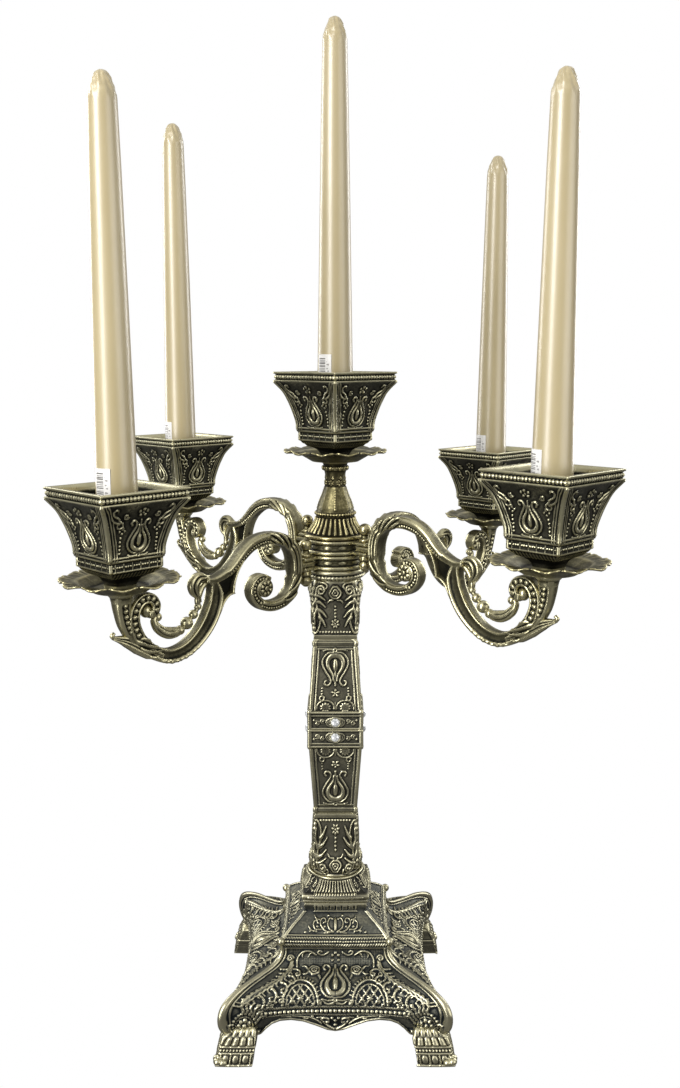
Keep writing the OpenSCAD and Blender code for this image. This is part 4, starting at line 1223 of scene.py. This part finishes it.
class Nodes:
    """The node tree of a material or a world, built one node at a time."""

    def __init__(self, owner, shader="ShaderNodeBsdfPrincipled",
                 output="ShaderNodeOutputMaterial"):
        owner.use_nodes = True
        self.tree = owner.node_tree
        self.tree.nodes.clear()
        self.shader = self.add(shader)
        self.put(self.shader.outputs[0], self.add(output).inputs["Surface"])

    def add(self, kind, **settings):
        node = self.tree.nodes.new(kind)
        for key, value in settings.items():
            setattr(node, key, value)
        return node

    def put(self, value, socket):
        """Links an output to a socket, or sets the socket to a value."""
        if isinstance(value, bpy.types.NodeSocket):
            self.tree.links.new(value, socket)
        else:
            socket.default_value = value

    def set(self, **values):
        """Puts a value or an output into each of the shader's inputs named."""
        for key, value in values.items():
            self.put(value, self.shader.inputs[key.replace("_", " ")])

    def attribute(self, name):
        return self.add("ShaderNodeAttribute", attribute_name=name).outputs["Fac"]

    def noise(self, scale, detail=3, roughness=0.5, stretch=(1, 1, 1)):
        """Noise from 0 to 1 over the object's own coordinates; scale is in blobs a metre."""
        mapping = self.add("ShaderNodeMapping")
        self.put(self.add("ShaderNodeTexCoord").outputs["Object"], mapping.inputs["Vector"])
        self.put(stretch, mapping.inputs["Scale"])
        node = self.add("ShaderNodeTexNoise")
        for key, value in (("Scale", scale), ("Detail", detail), ("Roughness", roughness),
                           ("Vector", mapping.outputs["Vector"])):
            self.put(value, node.inputs[key])
        return node.outputs["Fac"]

    def math(self, kind, a, b, clamp=False):
        node = self.add("ShaderNodeMath", operation=kind, use_clamp=clamp)
        self.put(a, node.inputs[0])
        self.put(b, node.inputs[1])
        return node.outputs["Value"]

    def swing(self, noise, amount):
        """Noise from 0 to 1 turned into a swing of amount around 0."""
        return self.math("MULTIPLY", self.math("SUBTRACT", noise, 0.5), amount)

    def ramp(self, value, stops):
        """Colours along a value; stops are (place, (r, g, b)). A new ramp has two elements."""
        node = self.add("ShaderNodeValToRGB")
        parts = node.color_ramp.elements
        for i, (place, colour) in enumerate(stops):
            part = parts[i] if i < 2 else parts.new(place)
            part.position = place
            part.color = (*colour, 1)
        self.put(value, node.inputs["Fac"])
        return node.outputs["Color"]

    def mix(self, share, a, b):
        """Colour a turned towards colour (r, g, b) by share."""
        node = self.add("ShaderNodeMix", data_type="RGBA")
        self.put(share, node.inputs[0])
        self.put(a, node.inputs[6])
        self.put((*b, 1), node.inputs[7])
        return node.outputs[2]

    def span(self, value, *ends):
        """A value moved from one range to another; ends are (from, from, to, to)."""
        node = self.add("ShaderNodeMapRange")
        for socket, number in zip(("From Min", "From Max", "To Min", "To Max"), ends):
            node.inputs[socket].default_value = number
        self.put(value, node.inputs["Value"])
        return node.outputs["Result"]

    def bump(self, height, strength, distance):
        node = self.add("ShaderNodeBump")
        for key, value in (("Strength", strength), ("Distance", distance), ("Height", height)):
            self.put(value, node.inputs[key])
        self.set(Normal=node.outputs["Normal"])


def new_material(name):
    material = bpy.data.materials.new(name)
    return material, Nodes(material)


def brass(name, groove, plain, crest, low_mark=0.3, polish=0.30, dull=0.56):
    """Cast brass with a dark patina: grooves keep it, crests are rubbed bright.
    Its relief attribute also carries painted shade, which darkens some hollows and inner faces.
    """
    material, m = new_material(name)
    high_mark = 0.68
    blotch = m.noise(70, 4)
    grit = m.noise(900, 3, 0.6)
    # worn is the relief attribute (patina plus painted shade) with noise added
    worn = m.math("ADD", m.attribute("relief"), m.swing(grit, 0.22))
    worn = m.math("ADD", worn, m.swing(blotch, 0.28), clamp=True)
    colour = m.ramp(worn, [(low_mark, groove), (high_mark, crest), (0.5, plain)])
    stain = m.span(m.noise(38, 5, 0.6), 0.48, 0.72, 0, 0.35)
    scratch = m.noise(260, 2, 0.5, stretch=(1, 1, 0.12))
    m.set(Base_Color=m.mix(stain, colour, [0.55 * c for c in plain]), Metallic=0.92,
          Roughness=m.math("ADD", m.span(worn, low_mark, high_mark, dull, polish),
                           m.swing(scratch, 0.22), clamp=True))
    m.bump(m.math("ADD", grit, m.math("MULTIPLY", scratch, 0.6)), 0.35, 0.00012)
    return material


def steel(name):
    material, m = new_material(name)
    streak = m.noise(420, 3, 0.5, stretch=(1, 1, 0.1))
    m.set(Base_Color=m.ramp(streak, [(0.3, (0.24, 0.235, 0.22)), (0.7, (0.46, 0.455, 0.44))]),
          Roughness=m.span(streak, 0.3, 0.7, 0.5, 0.3), Metallic=1)
    m.bump(streak, 0.3, 0.00008)
    return material


def wax(name):
    """Khaki pearl wax under a thin clear wrap."""
    material, m = new_material(name)
    cloud = m.noise(40, 3, 0.5, stretch=(1, 1, 0.25))
    m.set(Base_Color=m.ramp(cloud, [(0.3, (0.37, 0.302, 0.152)), (0.7, (0.44, 0.364, 0.200))]),
          Roughness=m.span(m.noise(300, 2), 0.3, 0.7, 0.46, 0.38), Metallic=0,
          Specular_IOR_Level=1, Subsurface_Weight=0.05, Subsurface_Scale=0.002,
          Subsurface_Radius=(1, 0.8, 0.5), Coat_Weight=1, Coat_Roughness=0.30,
          Sheen_Weight=0.15, Sheen_Roughness=0.4)
    m.bump(m.noise(90, 3, 0.5, stretch=(1, 1, 0.15)), 0.2, 0.0005)
    return material


def crystal(name):
    """A dark-backed cut stone."""
    material, m = new_material(name)
    cloud = m.noise(500, 2)
    m.set(Base_Color=m.ramp(cloud, [(0.35, (0.42, 0.44, 0.46)), (0.6, (0.93, 0.95, 0.97))]),
          Roughness=m.span(cloud, 0.3, 0.7, 0.02, 0.08), Metallic=0.35, IOR=1.6, Coat_Weight=1,
          Coat_Roughness=0.02)
    return material


def label_paper(name):
    material, m = new_material(name)
    fibre = m.noise(900, 3)
    paper = m.ramp(fibre, [(0.3, (0.72, 0.71, 0.69)), (0.7, (0.84, 0.83, 0.81))])
    m.set(Base_Color=m.mix(m.attribute("ink"), paper, (0.17, 0.165, 0.16)),
          Roughness=m.span(fibre, 0.3, 0.7, 0.42, 0.34))
    m.bump(fibre, 0.2, 0.00005)
    return material


STEM_BRASS = brass("brass_stem", (0.018, 0.018, 0.016), (0.160, 0.152, 0.112), (0.52, 0.49, 0.33))
BASE_BRASS = brass("brass_base", (0.013, 0.016, 0.018), (0.094, 0.096, 0.080), (0.44, 0.415, 0.285),
                   low_mark=0.33)
CUP_BRASS = brass("brass_cup", (0.010, 0.010, 0.008), (0.068, 0.066, 0.047), (0.52, 0.49, 0.32),
                  low_mark=0.34)
ARM_BRASS = brass("brass_arm", (0.010, 0.010, 0.007), (0.124, 0.115, 0.066), (0.50, 0.465, 0.29),
                  polish=0.27)
NECK_BRASS = brass("brass_neck", (0.014, 0.012, 0.006), (0.096, 0.085, 0.041), (0.42, 0.37, 0.19),
                   polish=0.25)
SAUCER_BRASS = brass("brass_saucer", (0.016, 0.015, 0.008), (0.105, 0.096, 0.050),
                     (0.42, 0.38, 0.21))
SMOOTH_BRASS = brass("brass_smooth", (0.03, 0.026, 0.014), (0.22, 0.20, 0.105), (0.50, 0.45, 0.26),
                     polish=0.22, dull=0.4)
STEEL = steel("bright_steel")
WAX = wax("candle_wax")
CRYSTAL = crystal("cut_stone")
PAPER = label_paper("label_paper")


# ---- pieces ----


def piece(name, shape, material, body, node=None, move=(0, 0, 0), turn=0, flip=False):
    """Makes a shape, placed as in Shape.add, into an object that rides on a body and stands for
    a CAD node."""
    shape = Shape().add(shape, move, turn, flip)
    mesh = shape.mesh(name)
    paint_relief(mesh, np.concatenate(shape.shades))
    mesh.materials.append(material)
    obj = bpy.data.objects.new(name, mesh)
    bpy.context.scene.collection.objects.link(obj)
    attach(obj, body)
    if node:
        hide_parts(node)
    return obj


def build_base():
    upper, lower = base_shapes()
    piece("base_upper_shell", upper, BASE_BRASS, "stand", "base_shell")
    piece("base_lower_shell", lower, BASE_BRASS, "stand", "base_shell")
    foot = foot_shape()
    for name, x, y, turn in (("front_left", -1, -1, 0), ("front_right", 1, -1, 90),
                             ("back_right", 1, 1, 180), ("back_left", -1, 1, 270)):
        piece("foot_" + name + "_cast", foot, STEM_BRASS, "stand", "foot_" + name,
              (x * FOOT_MIDDLE, y * FOOT_MIDDLE, 0), turn)


def build_stem():
    seam = high("stem_lower_shaft")
    for node, shape, z, flip in (
            ("plinth", plinth_shape(), low("plinth"), False),
            ("stem_upper_shaft", shaft_shape(), seam, False),
            ("stem_lower_shaft", shaft_shape(), seam, True),
            ("stem_upper_flare", flare_shape(FLARE_END_UP, UPPER_FLARE),
             high("stem_upper_shaft"), False),
            ("stem_lower_flare", flare_shape(FLARE_END_DOWN, LOWER_FLARE),
             low("stem_lower_shaft"), True)):
        piece(node + "_cast", shape, STEM_BRASS, "stand", node, (0, 0, z), flip=flip)


CRYSTAL_UP, CRYSTAL_DEEP = 5, 1.9             # from the seam, and from the front of its node


def build_crystals():
    """Four stones round each shaft, over and under the seam."""
    lo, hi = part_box("crystals_upper")
    face = (hi[0] - lo[0]) / MM / 2 - CRYSTAL_DEEP
    for part, sign in (("upper", 1), ("lower", -1)):
        z = high("stem_lower_shaft") + sign * CRYSTAL_UP
        stones = Shape()
        for k in range(4):
            a = k * math.pi / 2
            stones.add(crystal_shape(), (face * math.sin(a), -face * math.cos(a), z), 90 * k)
        cut = piece("crystals_" + part + "_cut", stones, CRYSTAL, "stand", "crystals_" + part)
        cut.data.polygons.foreach_set("use_smooth", np.zeros(len(cut.data.polygons), bool))


def build_hub():
    piece("hub_cap_ring_cast", cap_ring_shape(), STEM_BRASS, "stand", "hub_cap_ring",
          (0, 0, low("hub_cap_ring")))
    piece("neck_bell", neck_shape(), NECK_BRASS, "stand", "neck", (0, 0, low("neck")))
    piece("central_rod_threaded", rod_shape(low("central_rod"), high("central_rod")), STEEL,
          "stand", "central_rod")
    piece("rod_nut_hex", flat_ring("rod_nut", 7.5, 4.1, 0.8, 6), STEEL, "stand", "rod_nut")
    piece("rod_washer_flat", flat_ring("rod_washer", 10.5, 4.2, 0.2, 48), STEEL, "stand",
          "rod_washer")


def middle_of_ring(pair):
    node = "arm_ring_" + pair
    return (low(node) + high(node)) / 2


PIN_OUT = 26                                  # from the stem's axis to an arm's pin


def build_arms():
    arm, pin, nut = arm_shape(), pin_shape(), nut_shape()
    for pair, angle in (("lower", 45), ("upper", -45)):
        middle = (0, 0, middle_of_ring(pair))
        ring = Shape().add(ring_shape(), middle).add(fork_shape(), middle, angle)
        piece("arm_ring_" + pair + "_cast", ring, ARM_BRASS, "arm_pair_" + pair, "arm_ring_" + pair)
    for place, (pair, angle) in ARMS.items():
        body, z, a = "arm_pair_" + pair, middle_of_ring(pair), math.radians(angle)
        at_pin = (PIN_OUT * math.cos(a), PIN_OUT * math.sin(a), z)
        piece("arm_" + place + "_cast", arm, ARM_BRASS, body, "arm_" + place, (0, 0, z), angle)
        piece("arm_pin_" + place + "_turned", pin, SMOOTH_BRASS, body, "arm_pin_" + place, at_pin)
        piece("pin_nut_" + place + "_turned", nut, SMOOTH_BRASS, body, "pin_nut_" + place, at_pin)


LABEL_R, LABEL_TALL, LABEL_SPAN, LABEL_UP = 11.15, 21, 52, 31
# The five places, and where each candle's label starts, in degrees round from +X.
LABEL_TURNS = {"centre": 206, "front_left": 214, "back_right": 190, "front_right": 176,
               "back_left": 192}


def label_shape(bottom, start):
    """A paper label round part of a candle."""
    a = np.radians(np.linspace(start, start + LABEL_SPAN, 60))[None]
    z = np.linspace(bottom, bottom + LABEL_TALL, 110)[:, None]
    p = np.stack([LABEL_R * np.cos(a) + 0 * z, LABEL_R * np.sin(a) + 0 * z, z + 0 * a], -1)
    back = p[:, ::-1] * [0.985, 0.985, 1]
    return Shape().grid(np.concatenate([p, back], 1))


def paint_ink(mesh, x, y, bottom, start):
    """Stores where the label is printed: a ladder of dark rules, and small marks beside it."""
    count = len(mesh.vertices)
    p = np.empty(count * 3)
    mesh.vertices.foreach_get("co", p)
    px, py, z = (p.reshape(-1, 3) / MM).T
    across = (np.degrees(np.arctan2(py - y, px - x)) % 360 - start) / LABEL_SPAN
    up = z - bottom
    thick = 0.5 + 0.22 * np.sin(np.floor(up / 0.95) * 2.4)
    rules = (((up / 0.95) % 1 < thick) & (across > 0.08) & (across < 0.6)
             & (up > 2) & (up < LABEL_TALL - 2))
    marks = ((np.sin(up * 3.1) + np.sin(up * 1.7 + across * 9) > 0.7)
             & (across > 0.68) & (across < 0.86))
    ink = np.maximum(rules, 0.8 * marks * (up > 3) * (up < LABEL_TALL - 3))
    layer = mesh.attributes.new("ink", "FLOAT", "POINT")
    layer.data.foreach_set("value", ink.astype(np.float32))


def build_lights():
    """Saucer, screw, cup, socket, candle and label of each of the five places."""
    saucer, screw, cup, socket = saucer_shape(), screw_shape(), cup_shape(), socket_shape()
    for place, label_turn in LABEL_TURNS.items():
        lo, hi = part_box("screw_" + place)
        x, y = (lo[0] + hi[0]) / 2 / MM, (lo[1] + hi[1]) / 2 / MM
        seat, foot = low("socket_" + place) - SOCKET_SEAT, low("candle_" + place)
        holder = "arm_pair_" + ARMS[place][0] if place in ARMS else "stand"
        turning, loose = "turning_cup_" + place, "loose_candle_" + place
        candle = candle_shape(high("candle_" + place) - foot)
        for part, suffix, shape, material, body, z, turn in (
                ("saucer_", "_leafed", saucer, SAUCER_BRASS, holder, seat, 0),
                ("screw_", "_slotted", screw, STEEL, holder, seat, 0),
                ("cup_", "_cast", cup, CUP_BRASS, turning, seat, 45),
                ("socket_", "_tube", socket, SMOOTH_BRASS, turning, seat + SOCKET_SEAT, 0),
                ("candle_", "_wrapped", candle, WAX, loose, foot, 0)):
            piece(part + place + suffix, shape, material, body, part + place, (x, y, z), turn)
        label = label_shape(foot + LABEL_UP, label_turn)
        tag = piece("label_" + place, label, PAPER, loose, move=(x, y, 0))
        paint_ink(tag.data, x, y, foot + LABEL_UP, label_turn)


build_base()
build_stem()
build_crystals()
build_hub()
build_arms()
build_lights()


# ---- camera, lights, surroundings ----

def area_light(name, place, target, size, power, colour=(1, 1, 1)):
    data = bpy.data.lights.new(name, "AREA")
    data.shape, data.size, data.size_y = "RECTANGLE", *size
    data.energy, data.color = power, colour
    light = bpy.data.objects.new(name, data)
    light.location = place
    aim = mathutils.Vector(target) - mathutils.Vector(place)
    light.rotation_euler = aim.to_track_quat("-Z", "Y").to_euler()
    bpy.context.scene.collection.objects.link(light)


def build_world():
    """White for the camera; for the object's light and reflections, a studio that is bright above
    and dim towards the floor and behind the camera."""
    world = bpy.data.worlds.new("studio")
    bpy.context.scene.world = world
    w = Nodes(world, "ShaderNodeMixShader", "ShaderNodeOutputWorld")
    seen, room = w.add("ShaderNodeBackground"), w.add("ShaderNodeBackground")
    split = w.add("ShaderNodeSeparateXYZ")
    w.put(w.add("ShaderNodeTexCoord").outputs["Generated"], split.inputs[0])
    stops = [(0.0, 0.30), (0.42, 0.16), (0.52, 0.30), (0.70, 0.75), (1.0, 1.2)]
    colour = w.ramp(w.span(split.outputs["Z"], -1, 1, 0, 1),
                    [(at, (grey, grey * 0.99, grey * 0.97)) for at, grey in stops])
    w.put(colour, room.inputs["Color"])
    w.put(0.75, room.inputs["Strength"])
    w.put((1, 1, 1, 1), seen.inputs["Color"])
    w.put(w.add("ShaderNodeLightPath").outputs["Is Camera Ray"], w.shader.inputs[0])
    w.put(room.outputs[0], w.shader.inputs[1])
    w.put(seen.outputs[0], w.shader.inputs[2])


CAMERA_PLACE, CAMERA_TILT = (0.003, -0.664, 0.435), 10.13    # metres, and degrees downwards


def build_camera():
    data = bpy.data.cameras.new("camera")
    data.lens, data.sensor_width = 35, 36
    camera = bpy.data.objects.new("camera", data)
    camera.location = CAMERA_PLACE
    camera.rotation_euler = (math.radians(90 - CAMERA_TILT), 0, 0)
    bpy.context.scene.collection.objects.link(camera)
    bpy.context.scene.camera = camera


build_world()
area_light("key", (-0.75, -0.9, 1.05), (0, 0, 0.3), (0.6, 0.8), 11, (1, 0.985, 0.96))
area_light("strip", (-0.8, -0.95, 0.42), (0, 0, 0.4), (0.36, 1.3), 11, (1, 0.995, 0.99))
area_light("fill", (1.0, -0.8, 0.55), (0, 0, 0.3), (0.9, 1.0), 6, (1, 0.98, 0.95))
area_light("rim_left", (-0.9, 0.7, 0.6), (0, 0, 0.3), (0.3, 1.0), 6)
area_light("rim_right", (0.9, 0.7, 0.6), (0, 0, 0.3), (0.3, 1.0), 6)
build_camera()
bpy.context.scene.view_settings.view_transform = "Standard"
